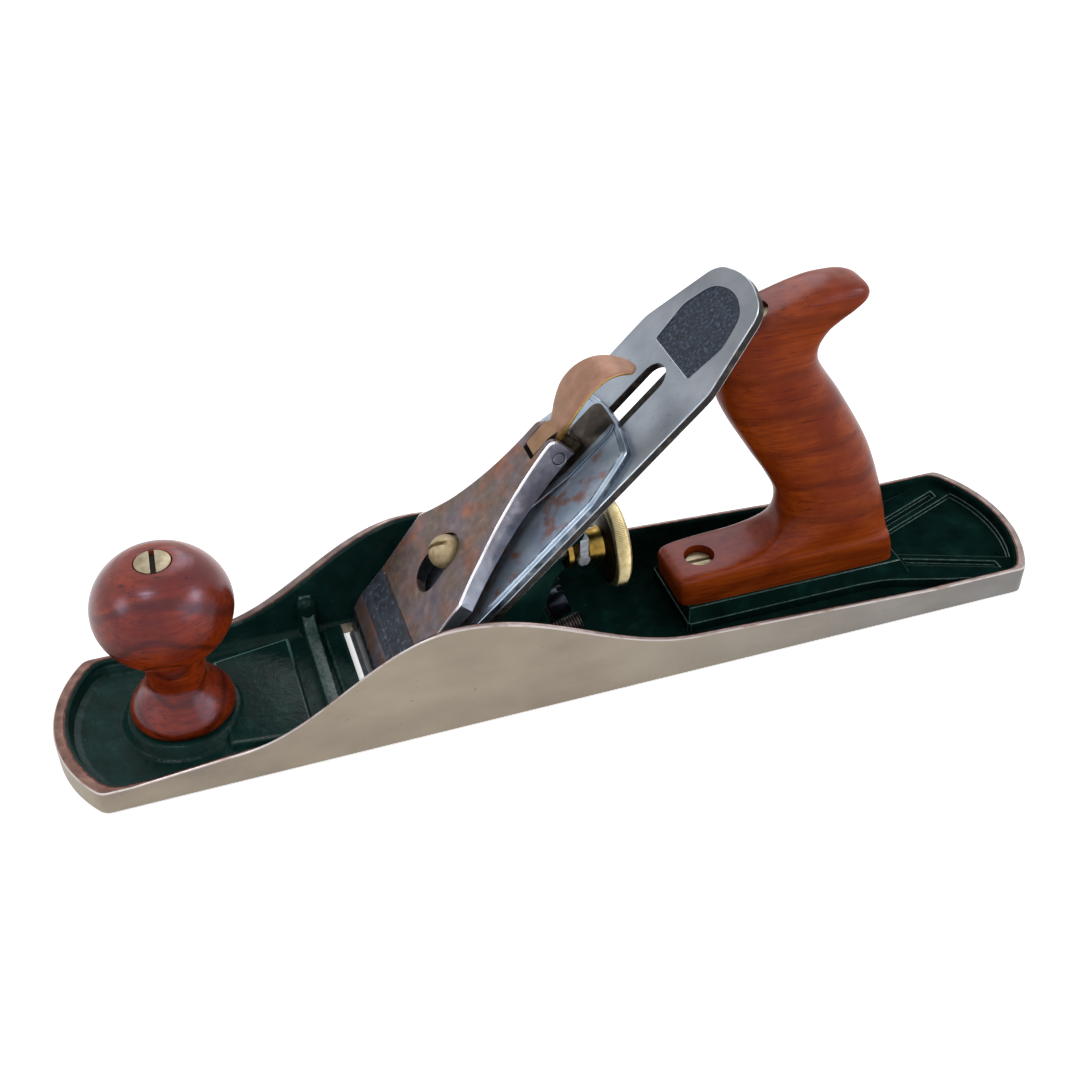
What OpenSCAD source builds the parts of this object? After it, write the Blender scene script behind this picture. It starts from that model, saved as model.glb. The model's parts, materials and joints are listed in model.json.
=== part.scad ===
// Jack plane: a metal bench plane with a frog that slides on a ramp and is locked by pins,
// a two-piece cap iron, a lever cap with a cam, a brass depth nut and wooden knob and tote.
// Toe is -X, heel is +X, the sole lies on z = 0 and its middle is the origin.
// Places on the iron are given as s (up the bed), y (across) and o (above the bed).

/* [Body casting] */
// Length of the sole
body_len = 355.6; // [345:0.1:390]
// Width across the ground sides
body_w = 64; // [62:0.5:72]
// How far the toe bows out past its corners
toe_bow = 12.3; // [8:0.1:16]
// How far the heel bows out past its corners
heel_bow = 10.6; // [8:0.1:16]
// Thickness of the sole
sole_t = 4; // [3:0.1:5]
// Thickness of the side walls
cheek_t = 3.9; // [3:0.1:5]
// Thickness of the wall round the toe
toe_wall = 5; // [3:0.1:8]
// Thickness of the wall round the heel
heel_wall = 4.2; // [3:0.1:8]
// Height of the wall at the toe
toe_h = 9.3; // [7:0.1:12]
// Height of the wall where the cheek starts to rise
rise_h = 12.3; // [10:0.1:14]
// Height of the cheek at its peak
cheek_h = 44; // [34:0.5:50]
// Height of the wall where the cheek has come down
tail_h = 16.2; // [14:0.1:20]
// Height of the wall at the heel
heel_h = 11.4; // [9:0.1:14]
// Distance of the cheek's peak in front of the middle
hump_back = 50; // [44:1:56]
// Length of the rise in front of the peak
rise_len = 74; // [60:1:78]
// Length of the fall behind the peak
fall_len = 90; // [70:1:100]
// Thickness of the cross rib in front of the mouth
rib_t = 4.5; // [3:0.1:6]
// Height of the cross rib at its middle
rib_h = 10.6; // [8:0.1:14]
// How much higher the rib climbs where it meets the cheeks
rib_rise = 9; // [5:0.5:12]

/* [Mouth and frog seat] */
// Distance of the mouth's front edge ahead of the middle
mouth_front = 77; // [76:0.1:78.5]
// Width of the mouth
mouth_w = 53.4; // [52.6:0.1:56]
// Slope of the frog's seat in degrees
seat_angle = 18; // [16:0.5:20]
// Length of the frog's seat along its slope
seat_len = 54.6; // [53.5:0.1:55.4]
// Width of the frog's seat
seat_w = 46; // [44:0.5:52]
// Height of the seat's lower end above the sole
seat_h0 = 4.5; // [4.2:0.1:5]

/* [Iron] */
// Distance from the middle to where the bed meets the sole
bed_back = 71.1; // [70.9:0.1:71.6]
// Width of the cutting iron
iron_w = 50.8; // [48:0.1:52]
// Thickness of the cutting iron
iron_t = 3; // [2.6:0.1:3.1]
// Distance up the bed to the top of the iron
iron_top = 185.8; // [180:0.1:195]
// Grinding angle of the cutting edge in degrees
bevel_angle = 25; // [23:1:35]
// Width of the long slot
slot_w = 11.2; // [10.8:0.1:12]
// Thickness of the cap iron
cap_iron_t = 3; // [2.6:0.1:3.2]
// Distance up the bed to the top of the cap iron
cap_iron_top = 125.7; // [120:0.1:132]
// Height of the hump of the deflector above the iron
hump_h = 5.9; // [5.4:0.1:5.9]

/* [Frog] */
// Width of the frog's bed
frog_w = 44; // [40:0.5:50]
// Thickness of the frog's bed plate
plate_t = 8; // [7:0.1:9]
// Distance up the bed to the top of the bed plate
plate_top = 80; // [77:0.5:81]
// Thickness of the frog's foot
foot_t = 8; // [6:0.1:9]
// Distance up the bed to the top of the middle lug
lug_top = 109; // [108.5:0.1:112]
// Width of the middle lug
lug_w = 18; // [17:0.5:20]
// Diameter of the two frog pins
frog_pin_d = 8; // [6:0.5:9]
// Distance between the two frog pins
pin_gap = 25.4; // [23:0.1:27]
// How far the adjusting and lock screws lie under the seat
screw_drop = 7.3; // [6.5:0.1:8]
// Diameter of the frog adjusting screw's head
adj_head_d = 11; // [9:0.5:11.5]
// Diameter of the frog's lock screws
lock_d = 6; // [5:0.5:7]
// How far the frog slides on its seat
frog_travel = 1.5; // [0.5:0.1:1.5]

/* [Lever cap] */
// Width of the lever cap
cap_w = 50; // [46:0.5:50.5]
// Distance up the bed to the end of the lever cap
cap_end = 109.5; // [108.5:0.1:110]
// Radius of the hollow sides of the lever cap's neck
waist_r = 117.2; // [110:0.2:124]
// Half width of the neck at its narrowest
neck_half = 6.6; // [6.2:0.1:7.4]
// Width of the slot for the cam lever
cam_slot_w = 8; // [7:0.1:9]
// Diameter of the keyhole's large end
keyhole_d = 13.2; // [12.6:0.1:14]
// Diameter of the lever cap screw's head
cap_screw_head_d = 11.4; // [10:0.1:12]
// Diameter of the lever cap screw's shank
cap_screw_d = 7; // [6:0.1:7.2]
// Distance up the bed to the lever cap screw
cap_screw_s = 55; // [54:0.1:56]
// Half width of the cam lever's thumb tongue
tongue_half = 8.2; // [6.5:0.1:10]

/* [Depth and lateral adjustment] */
// Height of the depth nut's axis above the sole
nut_z = 39.5; // [38.8:0.1:40]
// Diameter of the depth nut's knurled rim
nut_rim_d = 31.8; // [26:0.1:33]
// Width of the depth nut's knurled rim
nut_rim_t = 6; // [4:0.1:8]
// Diameter of the depth nut's hub
nut_hub_d = 12; // [11:0.1:13]
// Diameter of the depth stud
stud_d = 6; // [5:0.1:6.4]
// Width of the groove in the depth nut
groove_w = 5; // [4.8:0.1:5.4]
// Diameter of the round pads and tip of the yoke
pad_d = 4.8; // [4.2:0.1:4.8]
// Distance up the bed to the yoke's pin and tip
yoke_s = 86; // [85.8:0.1:86.4]
// Diameter of the yoke's pin
yoke_pin_d = 4; // [3:0.1:4.2]
// Diameter of the roller on the lateral lever
roller_d = 10.6; // [9:0.1:10.7]
// Distance up the bed to the lateral lever's rivet
rivet_s = 104; // [103.6:0.1:104.4]
// Distance up the bed to the end of the lateral lever
lateral_end = 147; // [138:0.5:152]
// Width of the lateral lever's arm
lateral_w = 8; // [6:0.1:9]

/* [Knob] */
// Distance of the knob's axis from the tip of the toe
knob_from_toe = 42.3; // [40:0.1:44]
// Height of the boss under the knob
boss_h = 8; // [6:0.1:10]
// Height of the knob
knob_h = 62.6; // [55:0.1:70]
// Radius of the ball of the knob
ball_r = 22.3; // [18:0.1:24]
// Radius of the knob's neck
neck_r = 9.8; // [8:0.1:12]
// Radius of the knob's foot
foot_r = 17.3; // [14:0.1:17.5]
// Diameter of the nuts that hold the knob and the tote
wood_nut_d = 11.3; // [10:0.1:12.5]
// Diameter of the studs through the knob and the tote
rod_d = 6.4; // [5:0.1:7]

/* [Tote] */
// Height of the pedestal under the tote
pedestal_h = 11.7; // [9:0.1:13]
// Half width of the plinth beside the tote's pedestal
plinth_half = 17; // [15.5:0.1:18]
// Distance of the tote's toe end behind the middle
tote_x = 38; // [36:0.5:41]
// Thickness of the tote
tote_t = 24; // [20:0.5:26]
// Height of the tote above its pedestal
tote_h = 117.5; // [112:0.5:121]
// Diameter of the screw head in the tote's toe
toe_screw_head_d = 9.5; // [8:0.1:11]

/* [Fits] */
// Radial gap of a running fit
run_gap = 0.1; // [0.05:0.01:0.12]
// Gap round screws and slots that only have to pass
pass_gap = 0.3; // [0.2:0.05:0.5]
// Gap between wooden bores and their studs
wood_gap = 0.25; // [0.1:0.05:0.5]

/* [Hidden] */
$fn = 64;

bed_angle = 45;
bed_x = -bed_back;
half_l = body_len / 2;
half_w = body_w / 2;
inner_half = half_w - cheek_t;
hump_x = -hump_back;
rise_x = hump_x - rise_len;
fall_x = hump_x + fall_len;
toe_flat_x = rise_x - 31;
heel_flat_x = fall_x + 90;
toe_r = (toe_bow * toe_bow + half_w * half_w) / (2 * toe_bow);
heel_r = (heel_bow * heel_bow + half_w * half_w) / (2 * heel_bow);
seat_x = bed_x + 5.1;
seat_z = seat_h0;
knob_x = -half_l + knob_from_toe;
eps = 0.01;

// Points on the bed and on the seat, as x and z
function bed_pt(s, o) = [bed_x + s * cos(bed_angle) - o * sin(bed_angle),
                         s * sin(bed_angle) + o * cos(bed_angle)];
function seat_pt(a, b) = [seat_x + a * cos(seat_angle) - b * sin(seat_angle),
                          seat_z + a * sin(seat_angle) + b * cos(seat_angle)];
function ease(t) = (1 - cos(180 * max(0, min(1, t)))) / 2;
function blend(a, b, t) = a + (b - a) * t;
function rim_z(x) =
    x < toe_flat_x ? toe_h
    : x < rise_x ? blend(toe_h, rise_h, (x - toe_flat_x) / (rise_x - toe_flat_x))
    : x < hump_x ? blend(rise_h, cheek_h, ease((x - rise_x) / rise_len))
    : x < fall_x ? blend(tail_h, cheek_h, ease((fall_x - x) / fall_len))
    : x < heel_flat_x ? blend(tail_h, heel_h, (x - fall_x) / (heel_flat_x - fall_x))
    : heel_h;

// Outline with each corner rounded by its own radius; a corner is [x, y, r]
function corner_arc(p, q, r, rad, n) =
    let (a = [p[0] - q[0], p[1] - q[1]],
         b = [r[0] - q[0], r[1] - q[1]],
         ua = a / norm(a),
         ub = b / norm(b),
         half = acos(max(-1, min(1, ua * ub))) / 2,
         d = min(rad / tan(half), norm(a) * 0.49, norm(b) * 0.49),
         rr = d * tan(half),
         mid = (ua + ub) / norm(ua + ub),
         c = [q[0], q[1]] + mid * (rr / sin(half)),
         v0 = [q[0], q[1]] + ua * d - c,
         v1 = [q[0], q[1]] + ub * d - c,
         t0 = atan2(v0[1], v0[0]),
         t1r = atan2(v1[1], v1[0]),
         t1 = t1r - t0 > 180 ? t1r - 360 : (t1r - t0 < -180 ? t1r + 360 : t1r))
    [for (i = [0 : n]) c + rr * [cos(blend(t0, t1, i / n)), sin(blend(t0, t1, i / n))]];
function rounded(pts, n = 5) =
    [for (i = [0 : len(pts) - 1])
        let (k = len(pts), p = pts[(i + k - 1) % k], q = pts[i], r = pts[(i + 1) % k])
        each (q[2] > 0 ? corner_arc(p, q, r, q[2], n) : [[q[0], q[1]]])];
// A half outline given for +y, closed by its mirror image
function mirrored(pts) = concat(pts, [for (i = [len(pts) - 1 : -1 : 0]) [pts[i][0], -pts[i][1], pts[i][2]]]);

// An x-z outline pushed out across the plane, w wide and centred
module across(w, y = 0) {
    translate([0, y, 0]) rotate([90, 0, 0]) linear_extrude(w, center = true) children();
}
// Children drawn in s, y, o
module on_bed() {
    translate([bed_x, 0, 0]) rotate([0, -bed_angle, 0]) children();
}
// Children drawn along the seat, across it and square to it
module on_seat() {
    translate([seat_x, 0, seat_z]) rotate([0, -seat_angle, 0]) children();
}
// A round-ended slot along s, cut square to the bed
module long_hole(s0, s1, w, o0, o1) {
    translate([s0 + w / 2, 0, o0]) cylinder(d = w, h = o1 - o0);
    translate([s1 - w / 2, 0, o0]) cylinder(d = w, h = o1 - o0);
    translate([s0 + w / 2, -w / 2, o0]) cube([s1 - s0 - w, w, o1 - o0]);
}
module rod_y(d, w, y = 0) {
    translate([0, y, 0]) rotate([90, 0, 0]) cylinder(d = d, h = w, center = true);
}
module rod_x(d, l) {
    rotate([0, 90, 0]) cylinder(d = d, h = l);
}

// Plan of the sole, drawn in by the thickness of each wall
module plan(side, toe, heel, h) {
    intersection() {
        translate([-half_l + toe, -half_w + side, 0]) cube([body_len - toe - heel, body_w - 2 * side, h]);
        union() {
            translate([-half_l + toe_r, 0, 0]) cylinder(r = toe_r - toe, h = h);
            translate([half_l - heel_r, 0, 0]) cylinder(r = heel_r - heel, h = h);
            translate([-half_l + toe_r, -half_w, 0]) cube([body_len - toe_r - heel_r, body_w, h]);
        }
    }
}

// Places shared by the casting and what it carries
rim_steps = 24;
rib_x = -mouth_front - 13.4;
rib_foot_d = 7;
rib_fillet = 5.6;
lip_len = 7;
lip_h = sole_t + 1.6;
pad_h = sole_t + 2.5;
boss_r = 20;
boss_top_r = 17.8;
pin_a = 29.4;
pin_depth = 9;
pin_head_d = frog_pin_d + 3;
pin_head_b = 9.2;
pin_head_t = 3;
foot_len = seat_len + 2.3;
clip_t = 2;
clip_half = 6;
adj_thread_d = 6;
adj_thread_a = 40;
adj_neck_d = 5;
adj_head_len = 7;
lock_end_a = seat_len + 12.5;
lock_start_a = pin_a + frog_pin_d / 2 + 0.2;
tote_front_gap = 3;
pedestal_x0 = tote_x + tote_front_gap;
pedestal_x1 = tote_x + 88;
pedestal_half = tote_t / 2 + 0.9;
flank_half = plinth_half - 0.6;
toe_screw_x = tote_x + 11.7;
toe_screw_d = 5;
rod_foot_x = tote_x + 74.8;
rod_lean = atan2(52.3, 109.3);
rod_len = 119;
rod_sink = 8;
pad_z = sole_t + 3.8;
panel_z = sole_t + 2;
flare_half = 24.6;
fan_slope = 0.384;
fan_apex = half_l - 63.7;
fan_start = pedestal_x1 + 4;
ridge_w = 3;
fan_groove_w = 3.4;

// Draws along the stud of the tote, whose foot is on the pedestal
module on_rod() {
    translate([rod_foot_x, 0, pedestal_h]) rotate([0, -rod_lean, 0]) children();
}

// Half width of the fan-shaped heel panel at x, let out sideways
function fan_half(x, out) = fan_slope * (x - fan_apex) + out;
module fan_strip(from, to, x1) {
    for (side = [-1, 1]) scale([1, side, 1]) translate([0, 0, panel_z]) linear_extrude(cheek_h)
        polygon([[fan_start, from == 0 ? -1 : fan_half(fan_start, from)], [x1, from == 0 ? -1 : fan_half(x1, from)],
                 [x1, fan_half(x1, to)], [fan_start, fan_half(fan_start, to)]]);
}

module casting_insides() {
    // boss and nose pad of the knob
    translate([knob_x, 0, 0]) cylinder(r = boss_r, h = sole_t + eps);
    translate([knob_x, 0, sole_t]) cylinder(r1 = boss_r, r2 = boss_top_r, h = boss_h - sole_t);
    linear_extrude(pad_h) polygon([[knob_x + 12, -20], [rib_x - 6, -24], [rib_x - 6, 24], [knob_x + 12, 20]]);
    // cross rib, which climbs up the cheeks
    translate([rib_x, 0, 0]) rotate([90, 0, 90]) linear_extrude(rib_t)
        polygon(rounded([for (p = mirrored([[1, half_w - 1, 0], [rib_h + rib_rise, half_w - 1, 0],
            [rib_h + rib_rise, inner_half, 0], [rib_h, inner_half - rib_fillet, 6]])) [p[1], p[0], p[2]]]));
    for (side = [-1, 1]) translate([rib_x + rib_t / 2, side * inner_half, 1])
        cylinder(d = rib_foot_d, h = rib_h + rib_rise - 2);
    // raised lip in front of the mouth
    translate([-mouth_front - lip_len, -mouth_w / 2, 1]) cube([lip_len, mouth_w, lip_h - 1]);
    // seat of the frog
    across(seat_w) polygon([[seat_x, 1], [seat_x, seat_z], seat_pt(seat_len, 0),
        seat_pt(seat_len, -(seat_z + seat_len * sin(seat_angle) - 1) / cos(seat_angle))]);
    // plinth and heel pad, with the sunk fan-shaped panel and a groove beside each of its ridges
    difference() {
        linear_extrude(pad_z) polygon(rounded(mirrored([
            [pedestal_x0 - 1.5, plinth_half, 1.5], [pedestal_x0 + 74, plinth_half, 60],
            [half_l - 37.4, flare_half, 10], [half_l - 17, half_w - 1, 0], [half_l - 1, half_w - 1, 0]])));
        intersection() {
            plan(cheek_t + 1, toe_wall, heel_wall + 0.6, cheek_h);
            union() {
                fan_strip(0, 0, half_l);
                fan_strip(ridge_w, ridge_w + fan_groove_w, half_l - 16);
            }
        }
    }
    // pedestal of the tote, with sloping flanks
    intersection() {
        translate([pedestal_x0 - 1, 0, 0]) rotate([90, 0, 90]) linear_extrude(pedestal_x1 + 4 - pedestal_x0)
            polygon([[-flank_half, 1], [-flank_half, pad_z - 0.2], [-pedestal_half, pedestal_h],
                     [pedestal_half, pedestal_h], [flank_half, pad_z - 0.2], [flank_half, 1]]);
        across(body_w) polygon([[pedestal_x0 - 1, 0], [pedestal_x0 - 1, pad_z], [pedestal_x0 + 0.4, pedestal_h],
            [pedestal_x1, pedestal_h], [pedestal_x1 + 2.4, pad_z - 0.2], [pedestal_x1 + 2.4, 0]]);
    }
}

module body_casting() {
    color([0.09, 0.19, 0.17]) difference() {
        union() {
            difference() {
                intersection() {
                    plan(0, 0, 0, cheek_h + 1);
                    across(body_w + 2) polygon(concat(
                        [[-half_l - 1, 0], [-half_l - 1, toe_h], [toe_flat_x, toe_h]],
                        [for (i = [0 : rim_steps])
                            let (x = rise_x + rise_len * i / rim_steps) [x, rim_z(x)]],
                        [for (i = [1 : rim_steps + 4])
                            let (x = hump_x + fall_len * i / (rim_steps + 4)) [x, rim_z(x)]],
                        [[heel_flat_x, heel_h], [half_l + 1, heel_h], [half_l + 1, 0]]));
                }
                translate([0, 0, sole_t]) plan(cheek_t, toe_wall, heel_wall, cheek_h + 1);
            }
            intersection() {
                plan(cheek_t / 2, toe_wall / 2, heel_wall / 2, cheek_h);
                casting_insides();
            }
        }
        // mouth
        translate([-mouth_front, -mouth_w / 2, -1]) cube([mouth_front + seat_x, mouth_w, lip_h + 3]);
        // holes for the pins, lock screws and adjusting screw of the frog
        on_seat() {
            for (side = [-1, 1]) translate([0, side * pin_gap / 2, 0]) {
                long_hole(pin_a - frog_pin_d / 2 - frog_travel - pass_gap, pin_a + frog_pin_d / 2 + pass_gap,
                          frog_pin_d + 2 * pass_gap, -pin_depth - 1, 1);
                translate([pin_a, 0, -screw_drop]) rod_x(lock_d + 2 * run_gap, seat_len + 20 - pin_a);
            }
            translate([adj_thread_a - frog_travel - 1, 0, -screw_drop])
                rod_x(adj_thread_d + 2 * run_gap, seat_len + 20 - adj_thread_a);
        }
        // holes for the studs and the toe screw
        translate([knob_x, 0, sole_t / 2 - 0.3]) cylinder(d = rod_d + 2 * run_gap, h = boss_h + 4);
        on_rod() translate([0, 0, -rod_sink - 0.3]) cylinder(d = rod_d + 2 * run_gap, h = rod_sink + 8);
        translate([toe_screw_x, 0, sole_t - 0.5]) cylinder(d = toe_screw_d + 2 * run_gap, h = pedestal_h);
    }
}

// Knob: a turned ball on a waisted neck with a bell foot
ball_up = 20;
ball_down = 19;
ball_z = knob_h - 18.2;
neck_z0 = 16;
wood_nut_len = 9;
function ball_at(z) = let (h = (z - ball_z) / (z > ball_z ? ball_up : ball_down))
    ball_r * sqrt(max(0, 1 - h * h));
neck_z1 = ball_z - ball_down * sqrt(1 - pow(neck_r / ball_r, 2));
function knob_r(z) = z < 2.2 ? foot_r - 1.3 + 1.3 * sin(90 * z / 2.2)
    : z < neck_z0 ? blend(neck_r, foot_r, ease((neck_z0 - z) / (neck_z0 - 2.2)))
    : z < neck_z1 - 1.5 ? neck_r
    : z < neck_z1 + 1.5 ? max(neck_r, ball_at(z) * 0.5 + neck_r * 0.5) : ball_at(z);
knob_steps = 44;

// Round nut with a screwdriver slot, turned by an angle from the X axis
module slotted_nut(d, len, bore, turn) {
    difference() {
        cylinder(d = d, h = len);
        translate([0, 0, -1]) cylinder(d = bore, h = len - 2);
        rotate([0, 0, turn]) translate([-d, -0.8, len - 1.6]) cube([2 * d, 1.6, 3]);
    }
}

module knob() {
    color([0.45, 0.16, 0.08]) translate([knob_x, 0, boss_h]) difference() {
        rotate_extrude() polygon(concat([[0, 0]],
            [for (i = [0 : knob_steps]) let (z = knob_h * i / knob_steps) [knob_r(z), z]],
            [[0, knob_h]]));
        translate([0, 0, -1]) cylinder(d = rod_d + 2 * wood_gap, h = knob_h + 2);
        translate([0, 0, knob_h - wood_nut_len - 0.2]) cylinder(d = wood_nut_d + 0.2, h = wood_nut_len + 2);
    }
}

module knob_stud() {
    color("dimgray") translate([knob_x, 0, sole_t / 2])
        cylinder(d = rod_d, h = boss_h + knob_h - sole_t / 2 - 3.5);
}

module knob_nut() {
    color([0.62, 0.56, 0.45]) translate([knob_x, 0, boss_h + knob_h - wood_nut_len])
        slotted_nut(wood_nut_d, wood_nut_len + 0.15, rod_d + 0.1, 71);
}

// Tote: level slices, each [height, front, back, half width, squareness], over the pedestal.
// Fronts and backs are measured from the toe end of the tote.
tote_rows = [
    [0, 0.8, 86, 1, 6], [5, 0.1, 85.3, 1, 6], [10.4, 0.3, 84, 0.98, 6], [12, 6, 83.7, 0.96, 5.5],
    [13.2, 21, 83.4, 0.95, 5], [16.3, 33.5, 83, 0.96, 4], [21.7, 39.7, 82.2, 0.98, 3],
    [32.3, 40.4, 79.2, 1, 2.6], [44, 34.6, 75, 1, 2.5], [55.7, 27, 69.6, 1, 2.5],
    [76.2, 14.9, 57, 1, 2.6], [90, 11.4, 48, 0.99, 2.7], [97, 10.8, 47.2, 0.97, 3.1],
    [103.3, 11.4, 52.6, 0.95, 3.5], [107, 13, 58, 0.93, 3.8], [110, 19.4, 61.2, 0.9, 4],
    [113, 28, 62, 0.84, 4], [116, 36.5, 60, 0.72, 3.6], [118, 42.5, 56, 0.54, 2.8],
    [119, 47, 51, 0.2, 2]];
tote_row_h = 119;
tote_sub = 3;
tote_ring = 40;
function slope(i, c) = let (a = max(0, i - 1), b = min(len(tote_rows) - 1, i + 1))
    (tote_rows[b][c] - tote_rows[a][c]) / (tote_rows[b][0] - tote_rows[a][0]);
function tote_at(i, t, c) =
    c == 0 ? blend(tote_rows[i][0], tote_rows[i + 1][0], t)
    : let (h = tote_rows[i + 1][0] - tote_rows[i][0], p = tote_rows[i][c], q = tote_rows[i + 1][c])
      (2 * pow(t, 3) - 3 * pow(t, 2) + 1) * p + (pow(t, 3) - 2 * pow(t, 2) + t) * h * slope(i, c)
      + (3 * pow(t, 2) - 2 * pow(t, 3)) * q + (pow(t, 3) - pow(t, 2)) * h * slope(i + 1, c);
tote_slices = concat(
    [for (i = [0 : len(tote_rows) - 2], k = [0 : tote_sub - 1])
        [for (c = [0 : 4]) tote_at(i, k / tote_sub, c)]],
    [tote_rows[len(tote_rows) - 1]]);
function squircle(a, n) = sign(a) * pow(abs(a), 2 / n);

module tote_wood() {
    n = tote_ring;
    m = len(tote_slices);
    pts = [for (r = tote_slices, j = [0 : n - 1])
        let (mid = (r[1] + r[2]) / 2, half = (r[2] - r[1]) / 2)
        [tote_x + mid + half * squircle(cos(360 * j / n), r[4]),
         tote_t / 2 * r[3] * squircle(sin(360 * j / n), r[4]),
         pedestal_h + r[0] * tote_h / tote_row_h]];
    polyhedron(pts, concat(
        [[for (j = [0 : n - 1]) j]],
        [for (i = [0 : m - 2], j = [0 : n - 1]) each [
            [i * n + j, (i + 1) * n + j, (i + 1) * n + (j + 1) % n],
            [i * n + j, (i + 1) * n + (j + 1) % n, i * n + (j + 1) % n]]],
        [[for (j = [n - 1 : -1 : 0]) (m - 1) * n + j]]));
}

tote_nut_len = 10;
toe_screw_seat = pedestal_h + 7.2;
toe_head_t = 2.6;
module tote() {
    color([0.55, 0.23, 0.12]) difference() {
        tote_wood();
        on_rod() {
            translate([0, 0, -5]) cylinder(d = rod_d + 2 * wood_gap, h = rod_len + 20);
            translate([0, 0, rod_len - tote_nut_len]) cylinder(d = wood_nut_d + 0.2, h = 40);
        }
        translate([toe_screw_x, 0, pedestal_h - 1]) cylinder(d = toe_screw_d + 2 * wood_gap, h = 20);
        translate([toe_screw_x, 0, toe_screw_seat]) cylinder(d = toe_screw_head_d + 1.5, h = 20);
    }
}

module tote_stud() {
    color("dimgray") on_rod() translate([0, 0, -rod_sink])
        cylinder(d = rod_d, h = rod_sink + rod_len - 3);
}

module tote_nut() {
    color([0.62, 0.56, 0.45]) on_rod() translate([0, 0, rod_len - tote_nut_len])
        slotted_nut(wood_nut_d, tote_nut_len, rod_d + 0.1, 20);
}

module tote_toe_screw() {
    color([0.62, 0.56, 0.45]) translate([toe_screw_x, 0, 0]) difference() {
        union() {
            translate([0, 0, sole_t]) cylinder(d = toe_screw_d, h = toe_screw_seat - sole_t + eps);
            translate([0, 0, toe_screw_seat]) cylinder(d = toe_screw_head_d, h = toe_head_t);
        }
        translate([-10, -0.7, toe_screw_seat + toe_head_t - 1.2]) cube([20, 1.4, 3]);
    }
}

// Frog: a bed plate on a foot that slides along the seat, stiffened by webs
bed_dir = [cos(bed_angle), sin(bed_angle)];
seat_dir = [cos(seat_angle), sin(seat_angle)];
inner_s = cross(seat_pt(0, foot_t) - bed_pt(0, -plate_t), seat_dir) / cross(bed_dir, seat_dir);
web_t = 6;
block_x = -6.5;
block_half = 8;
pivot_o = -12;
ear_in = 4.2;
ear_out = 8.5;
ear_r = 4.5;
groove_s0 = 61.5;
groove_s1 = 84.5;
groove_half = 10;
cap_iron_screw_s = 72;
lug_step = 2.5;
lug_step_s = 90.5;

module frog() {
    color([0.09, 0.19, 0.17]) difference() {
        union() {
            across(frog_w) polygon([seat_pt(0.5, 0), bed_pt(8, 0), bed_pt(plate_top, 0),
                bed_pt(plate_top, -plate_t), bed_pt(inner_s, -plate_t), seat_pt(foot_len, foot_t),
                seat_pt(foot_len, 0)]);
            for (side = [-1, 1]) across(web_t, side * (frog_w - web_t) / 2)
                polygon([bed_pt(inner_s - 3, -plate_t + 1), bed_pt(plate_top - 3, -plate_t + 1),
                         seat_pt(foot_len - 5, foot_t - 1)]);
            across(2 * block_half) polygon([bed_pt(inner_s - 3, -plate_t + 1),
                bed_pt(cap_iron_screw_s, -plate_t + 1), [block_x, nut_z + 8], [block_x, nut_z - 7],
                seat_pt(foot_len - 3, foot_t - 1)]);
            on_bed() {
                translate([plate_top - 1, -lug_w / 2, -plate_t]) cube([lug_top - plate_top + 1, lug_w, plate_t]);
                for (side = [-1, 1]) translate([0, side * (ear_in + ear_out) / 2, 0]) {
                    translate([yoke_s, 0, pivot_o]) rod_y(2 * ear_r, ear_out - ear_in);
                    translate([yoke_s - ear_r, -(ear_out - ear_in) / 2, pivot_o])
                        cube([2 * ear_r, ear_out - ear_in, -pivot_o - 1]);
                }
            }
        }
        on_bed() {
            // lever cap screw, groove for the cap iron screw's head, slot for the yoke
            translate([cap_screw_s, 0, -17]) cylinder(d = cap_screw_d + 2 * run_gap, h = 20);
            translate([groove_s0, -groove_half, -5]) cube([groove_s1 - groove_s0, 2 * groove_half, 8]);
            translate([yoke_s - 4.7, -4.5, -plate_t - 1]) cube([9.4, 9, plate_t + 3]);
            // step for the lateral lever and hole for its rivet
            translate([lug_step_s, -lug_w, -lug_step]) cube([lug_top - lug_step_s + 1, 2 * lug_w, 6]);
            translate([rivet_s, 0, -plate_t - 1]) cylinder(d = rivet_d + 2 * run_gap, h = plate_t + 2);
            translate([yoke_s, 0, pivot_o]) rod_y(yoke_pin_d + 2 * run_gap, 4 * ear_out);
        }
        // depth stud
        translate([block_x - 12, 0, nut_z]) rod_x(stud_d + 2 * run_gap, 14);
        on_seat() {
            for (side = [-1, 1]) translate([pin_a, side * pin_gap / 2, 0]) {
                translate([0, 0, -1]) cylinder(d = frog_pin_d + 2 * run_gap, h = pin_head_b + 2);
                translate([0, 0, pin_head_b]) cylinder(d = pin_head_d + 0.4, h = 12);
            }
            translate([foot_len - 8, 0, foot_t / 2]) rod_x(clip_screw_d + 2 * run_gap, 10);
        }
    }
}

module frog_pins() {
    color("gray") on_seat() for (side = [-1, 1]) translate([pin_a, side * pin_gap / 2, 0]) difference() {
        union() {
            translate([0, 0, -pin_depth]) cylinder(d = frog_pin_d, h = pin_depth + pin_head_b + eps);
            translate([0, 0, pin_head_b]) cylinder(d = pin_head_d, h = pin_head_t);
        }
        translate([-10, -0.6, pin_head_b + pin_head_t - 1.2]) cube([20, 1.2, 3]);
    }
}

module frog_lock_screws() {
    color("silver") on_seat() for (side = [-1, 1])
        translate([lock_start_a, side * pin_gap / 2, -screw_drop]) difference() {
            rotate([0, 90, 0]) {
                cylinder(d1 = lock_d - 4, d2 = lock_d, h = 3);
                translate([0, 0, 3 - eps]) cylinder(d = lock_d, h = lock_end_a - lock_start_a - 3);
            }
            translate([lock_end_a - lock_start_a - 2, -0.6, -lock_d]) cube([4, 1.2, 2 * lock_d]);
        }
}

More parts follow.
